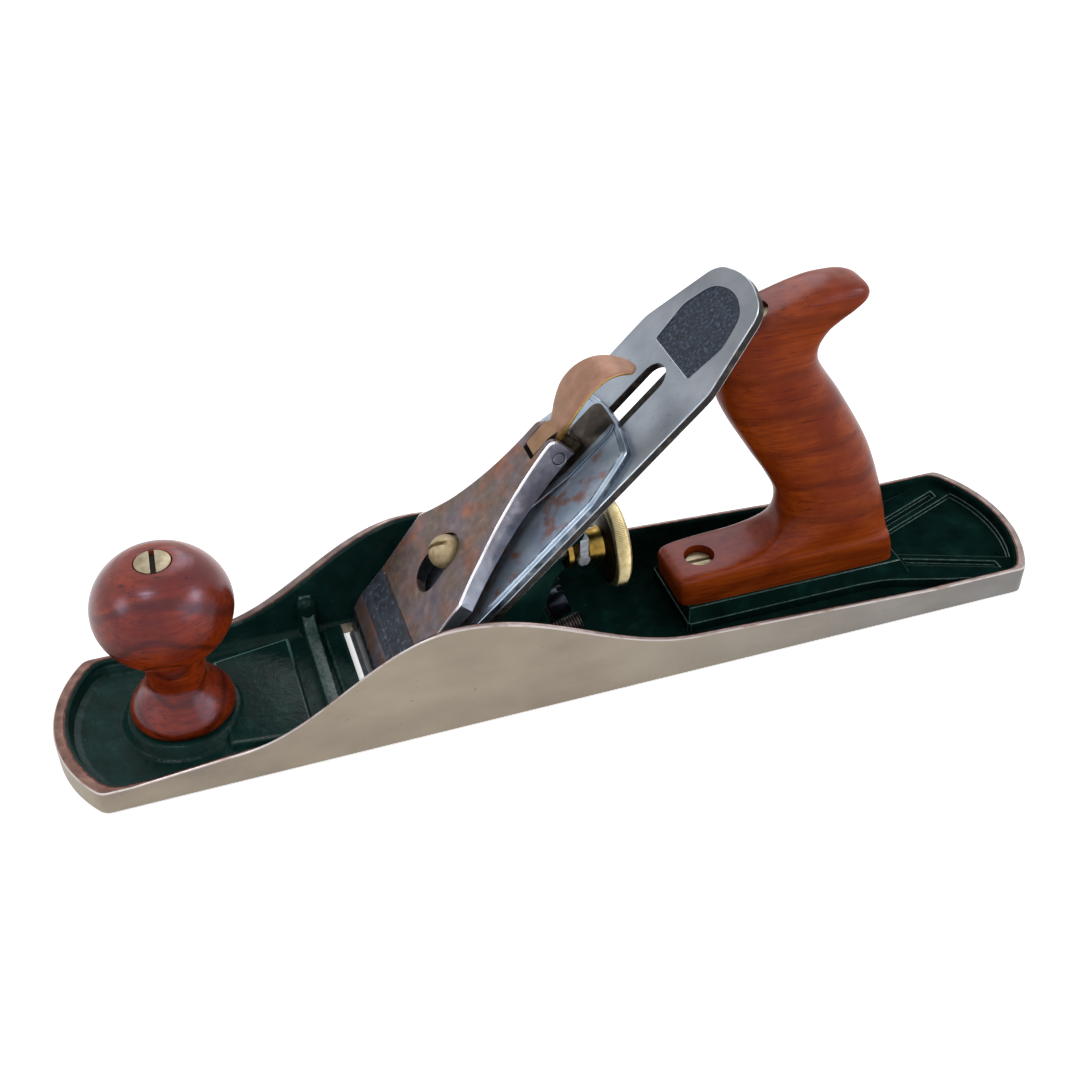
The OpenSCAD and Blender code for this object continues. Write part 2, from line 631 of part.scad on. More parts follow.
module frog_adjusting_screw() {
    color([0.1, 0.12, 0.16]) on_seat() translate([0, 0, -screw_drop]) difference() {
        union() {
            translate([adj_thread_a, 0, 0]) rod_x(adj_thread_d, foot_len - adj_thread_a - 0.2);
            translate([foot_len - 1, 0, 0]) rod_x(adj_neck_d, clip_t + 2);
            translate([foot_len + clip_t + 0.2, 0, 0]) rod_x(adj_head_d, adj_head_len);
        }
        translate([foot_len + clip_t + adj_head_len - 1.6, -0.7, -adj_head_d]) cube([4, 1.4, 2 * adj_head_d]);
    }
}

clip_screw_d = 4;
module frog_clip() {
    color("gray") on_seat() difference() {
        translate([foot_len, -clip_half, -screw_drop - 5.5]) cube([clip_t, 2 * clip_half, screw_drop + 5.5 + foot_t - 1]);
        translate([foot_len - 1, 0, -screw_drop]) rod_x(adj_neck_d + 2 * run_gap, clip_t + 2);
        translate([foot_len - 1, -adj_neck_d / 2 - run_gap, -screw_drop - 8])
            cube([clip_t + 2, adj_neck_d + 2 * run_gap, 8]);
        translate([foot_len - 1, 0, foot_t / 2]) rod_x(clip_screw_d + 2 * run_gap, clip_t + 2);
    }
}

module frog_clip_screw() {
    color("dimgray") on_seat() translate([foot_len, 0, foot_t / 2]) difference() {
        union() {
            translate([-7, 0, 0]) rod_x(clip_screw_d, 7 + clip_t + 0.2);
            translate([clip_t, 0, 0]) rod_x(5.8, 2.2);
        }
        translate([clip_t + 1.2, -0.5, -5]) cube([3, 1, 10]);
    }
}

// Cutting iron: parallel sides, then a taper to a crowned top
edge_s = -2;
iron_slot_s0 = 40;
iron_slot_s1 = iron_top - 37.8;
big_hole_d = 19;
module iron_plan(h) {
    w = iron_w / 2;
    linear_extrude(h) polygon(rounded(mirrored([
        [edge_s, w, 0], [iron_top - 32.3, w, 14], [iron_top - 3.6, w - 9.7, 4.5], [iron_top, 4, 30]])));
}
// Outline of the sunk panel at the top of the iron
module iron_panel(h) {
    linear_extrude(h) polygon(rounded(mirrored([
        [iron_top - 34.3, 13, 0.6], [iron_top - 20, 14.8, 8], [iron_top - 9.4, 10.6, 9], [iron_top - 6.3, 3, 20]])));
}

module cutter_iron() {
    color([0.6, 0.65, 0.7]) on_bed() difference() {
        intersection() {
            iron_plan(iron_t);
            across(iron_w) polygon([[edge_s, iron_t], [edge_s + iron_t / tan(bevel_angle), 0],
                [iron_top + 1, 0], [iron_top + 1, iron_t]]);
        }
        long_hole(iron_slot_s0, iron_slot_s1, slot_w, -1, iron_t + 1);
        translate([iron_slot_s0, 0, -1]) cylinder(d = big_hole_d, h = iron_t + 2);
        translate([0, 0, iron_t - 0.4]) iron_panel(1);
    }
}

// Cap iron: a flat plate and a loose deflector that laps under its lower end
lap_s = 12;
lap_len = 7;
module cap_iron() {
    w = iron_w / 2;
    color([0.62, 0.66, 0.72]) on_bed() difference() {
        translate([0, 0, iron_t]) linear_extrude(cap_iron_t) polygon(rounded(mirrored([
            [lap_s, w, 0], [cap_iron_top - 22, w, 6], [cap_iron_top - 9.5, w - 3.6, 6],
            [cap_iron_top - 3, w - 5.8, 3], [cap_iron_top, 6, 40]])));
        translate([lap_s - 1, -w - 1, iron_t - 1]) cube([lap_len + 1.2, iron_w + 2, cap_iron_t / 2 + 1]);
        long_hole(cap_screw_s - 7, cap_screw_s + 7.5, cap_screw_d + 2.6, iron_t - 1, iron_t + cap_iron_t + 1);
        translate([cap_iron_screw_s, 0, iron_t - 1]) cylinder(d = cap_iron_screw_d + 2 * run_gap, h = cap_iron_t + 2);
        translate([yoke_s - pad_d / 2 - 0.15, -4.3, iron_t - 1]) cube([pad_d + 0.3, 8.6, cap_iron_t + 2]);
    }
}

module cap_iron_deflector() {
    color([0.62, 0.66, 0.72]) on_bed() across(iron_w) polygon(rounded([
        [edge_s + 2.4, iron_t, 0], [edge_s + 3.4, iron_t + 1.6, 2], [edge_s + 9, iron_t + hump_h, 3],
        [lap_s - 1.2, iron_t + hump_h, 3], [lap_s - 0.1, iron_t + cap_iron_t, 0],
        [lap_s - 0.1, iron_t + cap_iron_t / 2 - 0.05, 0], [lap_s + lap_len, iron_t + cap_iron_t / 2 - 0.05, 0],
        [lap_s + lap_len, iron_t, 0]]));
}

cap_iron_screw_d = 8;
cap_iron_head_d = 17;
module cap_iron_screw() {
    color("gray") on_bed() translate([cap_iron_screw_s, 0, 0]) difference() {
        union() {
            translate([0, 0, -4]) cylinder(d = cap_iron_head_d, h = 4);
            translate([0, 0, -eps]) cylinder(d = cap_iron_screw_d, h = iron_t + cap_iron_t);
        }
        translate([-12, -0.9, -5]) cube([24, 1.8, 2.4]);
    }
}

// Lever cap: a wide nose, a hollow-sided neck and two ears for the cam lever
cap_travel = 9.5;
cap_under = iron_t + cap_iron_t + 4;
nose_o = iron_t + hump_h + 0.05;
nose_s = edge_s + 10.5;
cam_s = cap_end - 4.5;
cam_o = cap_under + 3.3;
cam_pin_d = 4;
cam_clear_r = 8.5;
head_seat = cap_under + 4.8;
neck_s = cap_end + 5.5;
module lever_cap() {
    color([0.52, 0.46, 0.43]) on_bed() difference() {
        across(cap_w) polygon(rounded([
            [nose_s, nose_o, 0], [nose_s + 8, nose_o + 0.15, 0], [nose_s + 12, cap_under, 0],
            [cap_end, cap_under, 0.5], [cap_end, cap_under + 10.4, 3], [84, cap_under + 8.2, 60],
            [66, cap_under + 6.7, 30], [53, cap_under + 6.4, 20], [45, cap_under + 5.3, 20],
            [28, cap_under + 2.55, 30], [14, cap_under + 1.3, 10], [nose_s, nose_o + 0.7, 0.4]]));
        // hollow sides of the neck
        for (side = [-1, 1]) translate([neck_s, side * (neck_half + waist_r), 0])
            cylinder(r = waist_r, h = 60, center = true, $fn = 200);
        // sunk panel across the nose
        translate([18, -21, cap_under + 1.2]) rotate([0, -5, 0]) cube([10, 42, 4]);
        // keyhole
        long_hole(cap_screw_s - cap_travel - keyhole_d / 2, cap_screw_s + keyhole_d / 2, keyhole_d,
                  head_seat - 0.1, 30);
        translate([cap_screw_s - cap_travel, 0, 0]) cylinder(d = keyhole_d, h = 30);
        long_hole(cap_screw_s - cap_travel, cap_screw_s + cap_screw_d / 2 + pass_gap,
                  cap_screw_d + 2 * pass_gap, 0, 30);
        // slot and pin hole for the cam lever
        translate([cam_s, 0, cam_o]) rod_y(2 * cam_clear_r, cam_slot_w);
        translate([cam_s, -cam_slot_w / 2, 0]) cube([10, cam_slot_w, 30]);
        translate([cam_s, 0, cam_o]) rod_y(cam_pin_d + 2 * run_gap, 40);
        translate([spring_rivet_s, 0, 0]) cylinder(d = spring_rivet_d + 2 * run_gap, h = cap_under + 4);
    }
}

spring_rivet_s = 76;
spring_rivet_d = 3.5;
spring_half = 8.3;
spring_t = 0.9;
spring_end = cap_end + 15.5;
spring_root = 69;
spring_bend = 84;
spring_flat = cap_end - 6.5;
module lever_cap_spring() {
    top = cap_under - 0.05;
    low = iron_t + cap_iron_t + 0.1;
    color("slategray") on_bed() difference() {
        intersection() {
            across(2 * spring_half) polygon([[spring_root, top], [spring_bend, top], [spring_flat, low + spring_t],
                [spring_end, low + spring_t], [spring_end, low], [spring_flat - 0.3, low],
                [spring_bend - 0.3, top - spring_t], [spring_root, top - spring_t]]);
            linear_extrude(cap_under + 1) polygon(rounded(mirrored([
                [spring_root, spring_half, 2], [spring_end, spring_half, 4]])));
        }
        translate([spring_rivet_s, 0, 0]) cylinder(d = spring_rivet_d + 2 * run_gap, h = 20);
    }
}

module spring_rivet() {
    color("gray") on_bed() translate([spring_rivet_s, 0, 0]) {
        translate([0, 0, cap_under - 1.8]) cylinder(d = 6.5, h = 0.8);
        translate([0, 0, cap_under - 1.8]) cylinder(d = spring_rivet_d, h = 5.5);
    }
}

dome_h = 4.4;
head_rim = 2.3;
screw_slot_turn = 63;
module lever_cap_screw() {
    r = cap_screw_head_d / 2;
    ball = (r * r + dome_h * dome_h) / (2 * dome_h);
    color([0.66, 0.6, 0.46]) on_bed() translate([cap_screw_s, 0, 0]) difference() {
        union() {
            translate([0, 0, -16]) cylinder(d = cap_screw_d, h = 16 + head_seat + eps);
            translate([0, 0, head_seat]) cylinder(r = r, h = head_rim);
            intersection() {
                translate([0, 0, head_seat + head_rim + dome_h - ball]) sphere(ball);
                translate([0, 0, head_seat + head_rim - eps]) cylinder(r = r, h = dome_h + 1);
            }
        }
        rotate([0, 0, screw_slot_turn])
            translate([-0.7, -r - 1, head_seat + head_rim + dome_h - 2.4]) cube([1.4, 2 * r + 2, 4]);
    }
}

// Cam lever: a thin curled thumb tongue and a round lobe that presses on the spring.
// Both outlines are measured from the pin, [along, above, corner] and [along, half width, corner].
cam_w = cam_slot_w - 0.4;
lobe_r = 4.2;
lobe_at = [4.5, -1.95];
hub_r = 5.2;
tongue_side = [[1, 5.2, 0], [7.5, 4.9, 5], [15, 7.3, 14], [26, 8.5, 9], [32.5, 6.6, 6], [37.5, -0.9, 0.5],
               [36.2, -1.5, 0.5], [31.6, 4.9, 5], [25.6, 6.7, 8], [15.2, 5.4, 12], [8, 1.3, 2], [3, -0.3, 0]];
tongue_plan = [[0, cam_w / 2, 0], [7.1, cam_w / 2, 2], [9.8, tongue_half - 1.4, 4], [17.5, tongue_half + 0.5, 14],
               [27, tongue_half - 1, 14], [35, tongue_half - 4, 6], [38, 2, 2]];
hub_side = [[-4.7, 5.9], [-4, 6.3], [3, 6.6], [5.5, 6], [7.8, 4.9], [7.8, 1.3], [4.5, -2.3], [-2, -3.8]];
module cam_lever() {
    color([0.63, 0.48, 0.38]) on_bed() translate([cam_s, 0, cam_o]) difference() {
        union() {
            intersection() {
                across(2 * tongue_half + 2) polygon(rounded(tongue_side));
                translate([0, 0, -8]) linear_extrude(20) polygon(rounded(mirrored(tongue_plan)));
            }
            across(cam_w) polygon(hub_side);
            rod_y(2 * hub_r, cam_w);
            translate([lobe_at[0], 0, lobe_at[1]]) rod_y(2 * lobe_r, cam_w);
        }
        rod_y(cam_pin_d + 2 * run_gap, 20);
    }
}

module cam_lever_pin() {
    color("gray") on_bed() translate([cam_s, 0, cam_o]) rod_y(cam_pin_d, 2 * neck_half + 0.6);
}

// Depth adjustment: stud, nut with a groove, and the yoke that it swings
stud_end_x = 16.2;
groove_x = 3;
nut_core_d = 8.6;
collar_t = 3;
collar_d = nut_hub_d + 1;
rim_x = 11.8;
module depth_stud() {
    color("gray") translate([block_x - 11, 0, nut_z]) rod_x(stud_d, stud_end_x - block_x + 11);
}

module depth_nut() {
    g0 = groove_x - groove_w / 2;
    g1 = groove_x + groove_w / 2;
    color([0.8, 0.72, 0.46]) translate([0, 0, nut_z]) difference() {
        union() {
            translate([g0 - collar_t, 0, 0]) rod_x(collar_d, collar_t);
            translate([g0 - eps, 0, 0]) rod_x(nut_core_d, groove_w + 2 * eps);
            translate([g1, 0, 0]) rod_x(nut_hub_d, rim_x - g1 + 1);
            translate([rim_x, 0, 0]) rod_x(nut_rim_d, nut_rim_t);
        }
        translate([-20, 0, 0]) rod_x(stud_d + 2 * run_gap, 60);
        // dished rear face
        translate([rim_x + nut_rim_t - 1.4, 0, 0]) rod_x(nut_rim_d - 6, 5);
    }
}

pivot = bed_pt(yoke_s, pivot_o);
arm_half = 1.7;
arm_in = nut_core_d / 2 + 0.2;
arm_out = arm_in + 3;
cross_z = nut_z + collar_d / 2 + 0.6;
module yoke() {
    color([0.6, 0.62, 0.65]) difference() {
        union() {
            translate([pivot[0], 0, pivot[1]]) rod_y(2 * ear_r - 0.2, 2 * ear_in - 0.3);
            on_bed() {
                translate([yoke_s - 1.8, -3, pivot_o]) cube([3.6, 6, 4.5 - pivot_o]);
                translate([yoke_s, 0, 4.5]) rod_y(pad_d, 6);
            }
            // neck down to the cross bar
            across(2 * ear_in - 0.3) polygon([[pivot[0] - 1.6, pivot[1] - 3], [pivot[0] + 2.6, pivot[1] - 1.5],
                [groove_x + arm_half, cross_z + 2.4], [groove_x + arm_half, cross_z], [groove_x - arm_half, cross_z]]);
            translate([groove_x - arm_half, -arm_out, cross_z]) cube([2 * arm_half, 2 * arm_out, 2.2]);
            for (side = [-1, 1]) translate([groove_x, side * (arm_in + arm_out) / 2, 0]) {
                translate([-arm_half, -(arm_out - arm_in) / 2, nut_z]) cube([2 * arm_half, arm_out - arm_in, cross_z - nut_z + 1]);
                translate([0, 0, nut_z]) rod_y(pad_d, arm_out - arm_in);
            }
        }
        translate([pivot[0], 0, pivot[1]]) rod_y(yoke_pin_d + 2 * run_gap, 30);
    }
}

module yoke_pin() {
    color("gray") translate([pivot[0], 0, pivot[1]]) rod_y(yoke_pin_d, 2 * ear_out);
}

// Lateral adjustment: a lever under the iron whose roller runs in the iron's slot
rivet_d = 5;
roller_arm = 7;
roller_pin_d = 4;
lateral_t = 2;
lateral_o = -2.3;
lateral_drop = 2;
tab_half = 9;
tab_h = 14;
arm_top = lateral_o - lateral_drop + lateral_t;
module lateral_lever() {
    color("silver") on_bed() difference() {
        union() {
            // the arm is joggled down where it leaves the lug
            intersection() {
                translate([0, 0, -10]) linear_extrude(20) polygon(rounded(mirrored([
                    [rivet_s - roller_arm - 4.2, 4.2, 4], [rivet_s - 3, 6.8, 4], [rivet_s + 5, 6.8, 4],
                    [rivet_s + 12, lateral_w / 2, 6], [lateral_end, lateral_w / 2, 0]])));
                across(4 * lateral_w) polygon([[rivet_s - 20, lateral_o], [lug_top + 1.6, lateral_o],
                    [lug_top + 4.2, lateral_o - lateral_drop], [lateral_end, lateral_o - lateral_drop],
                    [lateral_end, arm_top], [lug_top + 5, arm_top], [lug_top + 2.4, lateral_o + lateral_t],
                    [rivet_s - 20, lateral_o + lateral_t]]);
            }
            translate([rivet_s - roller_arm, 0, lateral_o]) cylinder(d = roller_pin_d, h = 2.6 - lateral_o);
            translate([lateral_end - lateral_t, 0, 0]) rotate([90, 0, 90]) linear_extrude(lateral_t)
                polygon(rounded([for (p = mirrored([[arm_top, lateral_w / 2, 0], [arm_top - 4, lateral_w / 2, 2],
                    [arm_top - 6, tab_half, 3], [arm_top - tab_h, tab_half, 6]])) [p[1], p[0], p[2]]]));
        }
        translate([rivet_s, 0, lateral_o - 1]) cylinder(d = rivet_d + 2 * run_gap, h = 4);
    }
}

module lateral_roller() {
    color("gray") on_bed() translate([rivet_s - roller_arm, 0, 0.2]) difference() {
        cylinder(d = roller_d, h = iron_t - 0.4);
        translate([0, 0, -1]) cylinder(d = roller_pin_d + 0.7, h = 6);
    }
}

module lateral_rivet() {
    color("gray") on_bed() translate([rivet_s, 0, 0]) {
        translate([0, 0, -plate_t - 1]) cylinder(d = rivet_d, h = plate_t + 0.6);
        translate([0, 0, -plate_t - 1.5]) cylinder(d = rivet_d + 3, h = 1.5);
    }
}

body_casting();
knob();
knob_stud();
knob_nut();
tote();
tote_stud();
tote_nut();
tote_toe_screw();
frog();
frog_pins();
frog_lock_screws();
frog_adjusting_screw();
frog_clip();
frog_clip_screw();
cutter_iron();
cap_iron();
cap_iron_deflector();
cap_iron_screw();
lever_cap();
lever_cap_spring();
spring_rivet();
lever_cap_screw();
cam_lever();
cam_lever_pin();
depth_stud();
depth_nut();
yoke();
yoke_pin();
lateral_lever();
lateral_roller();
lateral_rivet();
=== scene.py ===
import json
import math
import bmesh
import bpy
from mathutils import Matrix, Vector

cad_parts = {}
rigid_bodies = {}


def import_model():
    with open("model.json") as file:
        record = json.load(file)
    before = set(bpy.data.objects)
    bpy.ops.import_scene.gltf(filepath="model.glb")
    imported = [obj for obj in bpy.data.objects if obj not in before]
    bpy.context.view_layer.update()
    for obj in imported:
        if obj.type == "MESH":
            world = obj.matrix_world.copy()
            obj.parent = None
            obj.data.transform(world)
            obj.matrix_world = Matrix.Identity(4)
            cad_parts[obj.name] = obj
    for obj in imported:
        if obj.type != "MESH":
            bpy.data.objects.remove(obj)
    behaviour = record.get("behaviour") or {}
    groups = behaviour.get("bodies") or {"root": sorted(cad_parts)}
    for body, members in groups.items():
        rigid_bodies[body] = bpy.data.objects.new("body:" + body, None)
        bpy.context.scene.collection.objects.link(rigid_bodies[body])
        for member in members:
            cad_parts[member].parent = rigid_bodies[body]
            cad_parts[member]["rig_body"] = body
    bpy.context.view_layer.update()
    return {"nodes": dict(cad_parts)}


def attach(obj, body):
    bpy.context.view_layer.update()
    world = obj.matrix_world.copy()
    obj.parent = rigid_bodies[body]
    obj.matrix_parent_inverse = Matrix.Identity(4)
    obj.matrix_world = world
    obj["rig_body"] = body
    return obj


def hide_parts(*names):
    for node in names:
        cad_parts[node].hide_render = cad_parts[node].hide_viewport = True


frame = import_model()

# Camera, at the photograph's place: in front of the near side, to the toe's left and well above.
# The lens and the distance were solved from the object's own edges.
CAMERA_TURN = math.radians(-18.56)
CAMERA_RISE = math.radians(38.79)
CAMERA_ROLL = math.radians(-0.21)
CAMERA_DISTANCE = 0.48264
CAMERA_TARGET = Vector((-0.00995, 0.00134, 0.04534))
back = Vector((math.sin(CAMERA_TURN) * math.cos(CAMERA_RISE),
               -math.cos(CAMERA_TURN) * math.cos(CAMERA_RISE),
               math.sin(CAMERA_RISE)))
camera = bpy.data.objects.new("camera", bpy.data.cameras.new("camera"))
camera.data.lens = 47.41
camera.data.sensor_width = 36
camera.data.clip_start = 0.01
camera.location = CAMERA_TARGET + back * CAMERA_DISTANCE
turned = back.to_track_quat("Z", "Y").to_matrix().to_4x4() @ Matrix.Rotation(CAMERA_ROLL, 4, "Z")
camera.rotation_euler = turned.to_euler()
bpy.context.collection.objects.link(camera)
bpy.context.scene.camera = camera
bpy.context.scene.view_settings.view_transform = "Standard"


# Stage: a plain white floor that fades into a white surround, with soft studio lamps.
# The floor keeps the shadow; the surround is white to the camera and in reflections.
def linear(hex_colour):
    channels = [int(hex_colour[i:i + 2], 16) / 255 for i in (1, 3, 5)]
    return [c / 12.92 if c <= 0.04045 else ((c + 0.055) / 1.055) ** 2.4 for c in channels] + [1.0]


def add_node(tree, kind, settings=None, links=None):
    """Adds a shader node. settings are properties, or input values by socket name or number;
    links join its inputs to other nodes' outputs."""
    made = tree.nodes.new(kind)
    for name, value in (settings or {}).items():
        if isinstance(name, int) or name in made.inputs:
            made.inputs[name].default_value = value
        else:
            setattr(made, name, value)
    for name, output in (links or {}).items():
        tree.links.new(output, made.inputs[name])
    return made


FLOOR_SIZE = 6.0
floor_mesh = bpy.data.meshes.new("floor")
floor_mesh.from_pydata([(x * FLOOR_SIZE, y * FLOOR_SIZE, -0.0002) for x, y in ((-1, -1), (1, -1), (1, 1), (-1, 1))],
                       [], [(0, 1, 2, 3)])
floor = bpy.data.objects.new("floor", floor_mesh)
bpy.context.collection.objects.link(floor)
paper = bpy.data.materials.new("white_paper_sweep")
paper.use_nodes = True
tree = paper.node_tree
tree.nodes.clear()
rays = add_node(tree, "ShaderNodeLightPath")
seen = add_node(tree, "ShaderNodeMath", {"operation": "MAXIMUM"},
                {0: rays.outputs["Is Camera Ray"], 1: rays.outputs["Is Glossy Ray"]})
matte = add_node(tree, "ShaderNodeBsdfDiffuse", {"Color": linear("#F4F4F4")})
glow = add_node(tree, "ShaderNodeEmission", {"Color": (1, 1, 1, 1), "Strength": 0.52})
both = add_node(tree, "ShaderNodeAddShader", links={0: matte.outputs[0], 1: glow.outputs[0]})
choice = add_node(tree, "ShaderNodeMixShader", links={0: seen.outputs[0], 1: matte.outputs[0], 2: both.outputs[0]})
add_node(tree, "ShaderNodeOutputMaterial", links={"Surface": choice.outputs[0]})
floor_mesh.materials.append(paper)

world = bpy.data.worlds.new("studio")
bpy.context.scene.world = world
world.use_nodes = True
tree = world.node_tree
tree.nodes.clear()
rays = add_node(tree, "ShaderNodeLightPath")
seen = add_node(tree, "ShaderNodeMath", {"operation": "MAXIMUM"},
                {0: rays.outputs["Is Camera Ray"], 1: rays.outputs["Is Transmission Ray"]})
seen = add_node(tree, "ShaderNodeMath", {"operation": "MAXIMUM"},
                {0: seen.outputs[0], 1: rays.outputs["Is Glossy Ray"]})
strength = add_node(tree, "ShaderNodeMapRange", {"To Min": 0.5, "To Max": 1.0}, {"Value": seen.outputs[0]})
surround = add_node(tree, "ShaderNodeBackground", {"Color": (1, 1, 1, 1)}, {"Strength": strength.outputs[0]})
add_node(tree, "ShaderNodeOutputWorld", links={"Surface": surround.outputs[0]})

# name, place, size, watts
LAMPS = (
    ("window_left", (-1.15, -0.1, 0.72), 0.36, 2.0),
    ("window_middle", (-0.5, -0.17, 1.3), 0.32, 3.6),
    ("window_right", (0.9, -0.32, 0.76), 0.32, 3.0),
    ("fill_lamp", (0.9, -0.9, 0.7), 0.9, 4.0),
    ("rim_lamp", (0.3, 1.0, 0.9), 0.6, 3.2),
)
for name, place, size, watts in LAMPS:
    lamp = bpy.data.objects.new(name, bpy.data.lights.new(name, "AREA"))
    lamp.data.size = size
    lamp.data.energy = watts
    lamp.data.color = (0.94, 0.95, 1.0)
    lamp.location = place
    lamp.rotation_euler = Vector(place).to_track_quat("Z", "Y").to_euler()
    bpy.context.collection.objects.link(lamp)

# Body casting: grey cast iron, ground on the sole, sides and rim, and painted green inside.
# The wall is one strip round the plan, thick at the toe, with a rounded foot where it meets the sole.
MM = 0.001
BODY_LENGTH = 355.6
BODY_HALF = 32.0
TOE_BOW = 12.3
HEEL_BOW = 10.6
SOLE = 4.0
CHEEK = 3.9
TOE_WALL = 5.0
HEEL_WALL = 4.2
TOE_HEIGHT = 9.3
RISE_HEIGHT = 12.3
CHEEK_HEIGHT = 44.0
TAIL_HEIGHT = 16.2
HEEL_HEIGHT = 11.4
HUMP_X = -50.0
RISE_X = -124.0
FALL_X = 40.0
TOE_FLAT_X = -155.0
HEEL_FLAT_X = 130.0
MOUTH_FRONT = -77.0
MOUTH_BACK = -66.0
MOUTH_HALF = 26.7


def ease(t):
    return (1 - math.cos(math.pi * min(1, max(0, t)))) / 2


def blend(a, b, t):
    return a + (b - a) * t


def rim_height(x):
    if x < TOE_FLAT_X:
        return TOE_HEIGHT
    if x < RISE_X:
        return blend(TOE_HEIGHT, RISE_HEIGHT, (x - TOE_FLAT_X) / (RISE_X - TOE_FLAT_X))
    if x < HUMP_X:
        return blend(RISE_HEIGHT, CHEEK_HEIGHT, ease((x - RISE_X) / (HUMP_X - RISE_X)))
    if x < FALL_X:
        return blend(TAIL_HEIGHT, CHEEK_HEIGHT, ease((FALL_X - x) / (FALL_X - HUMP_X)))
    if x < HEEL_FLAT_X:
        return blend(TAIL_HEIGHT, HEEL_HEIGHT, (x - FALL_X) / (HEEL_FLAT_X - FALL_X))
    return HEEL_HEIGHT


def end_arc(bow, wall, side, steps, corner):
    """Half of one bowed end, from its tip to its corner, with the corner eased over.
    x is measured inwards from the tip of the whole sole."""
    radius = (bow * bow + BODY_HALF * BODY_HALF) / (2 * bow)
    r = radius - wall
    y_side = BODY_HALF - side
    stop = math.asin(y_side / r) - corner / r
    points = [(radius - r * math.cos(stop * i / steps), r * math.sin(stop * i / steps)) for i in range(steps + 1)]
    edge = (radius - math.sqrt(r * r - y_side * y_side), y_side)
    first = points[-1]
    last = (edge[0] + corner, y_side)
    for i in range(1, 7):
        t = i / 6
        points.append(tuple((1 - t) ** 2 * a + 2 * t * (1 - t) * b + t * t * c
                            for a, b, c in zip(first, edge, last)))
    return points


def plan_loop(side, toe, heel, corner):
    toe_half = [(-BODY_LENGTH / 2 + x, y) for x, y in end_arc(TOE_BOW, toe, side, 20, corner)]
    heel_half = [(BODY_LENGTH / 2 - x, y) for x, y in end_arc(HEEL_BOW, heel, side, 20, corner)]
    x0 = toe_half[-1][0]
    x1 = heel_half[-1][0]
    straight = [(blend(x0, x1, i / 130), BODY_HALF - side) for i in range(1, 130)]
    far = toe_half + straight + heel_half[::-1]
    near = [(x, -y) for x, y in far[::-1]]
    return far + near[1:-1]


def new_piece(name, verts, faces, body="casting", smooth=True):
    """A mesh piece from points in millimetres, which rides on the named body."""
    mesh = bpy.data.meshes.new(name)
    mesh.from_pydata([tuple(c * MM for c in v) for v in verts], [], faces)
    piece = bpy.data.objects.new(name, mesh)
    bpy.context.collection.objects.link(piece)
    tidy = bmesh.new()
    tidy.from_mesh(mesh)
    bmesh.ops.recalc_face_normals(tidy, faces=tidy.faces)
    tidy.to_mesh(mesh)
    tidy.free()
    for face in mesh.polygons:
        face.use_smooth = smooth
    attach(piece, body)
    return piece


def apply_modifiers(piece):
    """Turns a piece's modifiers into its mesh."""
    graph = bpy.context.evaluated_depsgraph_get()
    made = bpy.data.meshes.new_from_object(piece.evaluated_get(graph))
    piece.modifiers.clear()
    piece.data = made


def soften(piece, width, angle=30.0, segments=3, sharp=35.0):
    """Rounds the edges of a piece, width in millimetres, and smooths its shading.
    The rounded edges take the piece's second material."""
    rounding = piece.modifiers.new("rounding", "BEVEL")
    rounding.width = width * MM
    rounding.segments = segments
    rounding.limit_method = "ANGLE"
    rounding.angle_limit = math.radians(angle)
    rounding.use_clamp_overlap = True
    rounding.material = 1
    apply_modifiers(piece)
    piece.data.shade_smooth()
    piece.data.set_sharp_from_angle(angle=math.radians(sharp))


def cut(piece, cutters, how="DIFFERENCE"):
    """Cuts closed pieces out of a piece, or keeps what lies inside them, and deletes them."""
    for cutter in cutters:
        hole = piece.modifiers.new("hole", "BOOLEAN")
        hole.operation = how
        hole.solver = "EXACT"
        hole.object = cutter
    bpy.context.view_layer.update()
    apply_modifiers(piece)
    for cutter in cutters:
        bpy.data.objects.remove(cutter)


def block(name, low, high, body="casting"):
    """A plain box, used to cut with or as the start of a rounded piece."""
    corners = [(x, y, z) for x in (low[0], high[0]) for y in (low[1], high[1]) for z in (low[2], high[2])]
    sides = [(0, 1, 3, 2), (4, 6, 7, 5), (0, 4, 5, 1), (2, 3, 7, 6), (0, 2, 6, 4), (1, 5, 7, 3)]
    return new_piece(name, corners, sides, body, False)


# inset from the outer face or, past the rim, from the inner face at the cheeks and at the ends;
# height from the rim or the sole. The cheeks thin towards the rim, as a drafted casting does.
outer = plan_loop(0, 0, 0, 2.2)
rims = [rim_height(x) for x, y in outer]
WALL_RINGS = (
    (0.5, None, lambda rim: 0.0, "ground"),
    (0.0, None, lambda rim: 0.5, "ground"),
    (0.0, None, lambda rim: rim * 0.5, "ground"),
    (0.0, None, lambda rim: rim - 0.5, "ground"),
    (0.12, None, lambda rim: rim - 0.14, "arris"),
    (0.45, None, lambda rim: rim, "arris"),
    (-2.75, -1.8, lambda rim: rim, "rim"),
    (-2.3, -1.2, lambda rim: rim - 0.15, "oxide"),
    (-1.35, -0.2, lambda rim: rim - 0.8, "paint"),
    (-1.0, 0.1, lambda rim: max(rim - 3.0, SOLE + 3.2), "paint"),
    (-0.1, 0.25, lambda rim: SOLE + 2.8, "paint"),
    (0.8, 0.9, lambda rim: SOLE + 0.9, "paint"),
    (2.6, 2.6, lambda rim: SOLE + 0.05, "paint"),
    (3.4, 3.4, lambda rim: SOLE, "paint"),
)
SLOTS = ["ground", "arris", "rim", "oxide", "paint"]
verts = []
for inset, ends, height, surface in WALL_RINGS:
    if ends is None:
        loop = plan_loop(inset, inset, inset, 2.2)
    else:
        loop = plan_loop(CHEEK + inset, TOE_WALL + ends, HEEL_WALL + ends, 4.0)
    verts += [(x, y, height(rim)) for (x, y), rim in zip(loop, rims)]
count = len(outer)
faces = []
surfaces = []
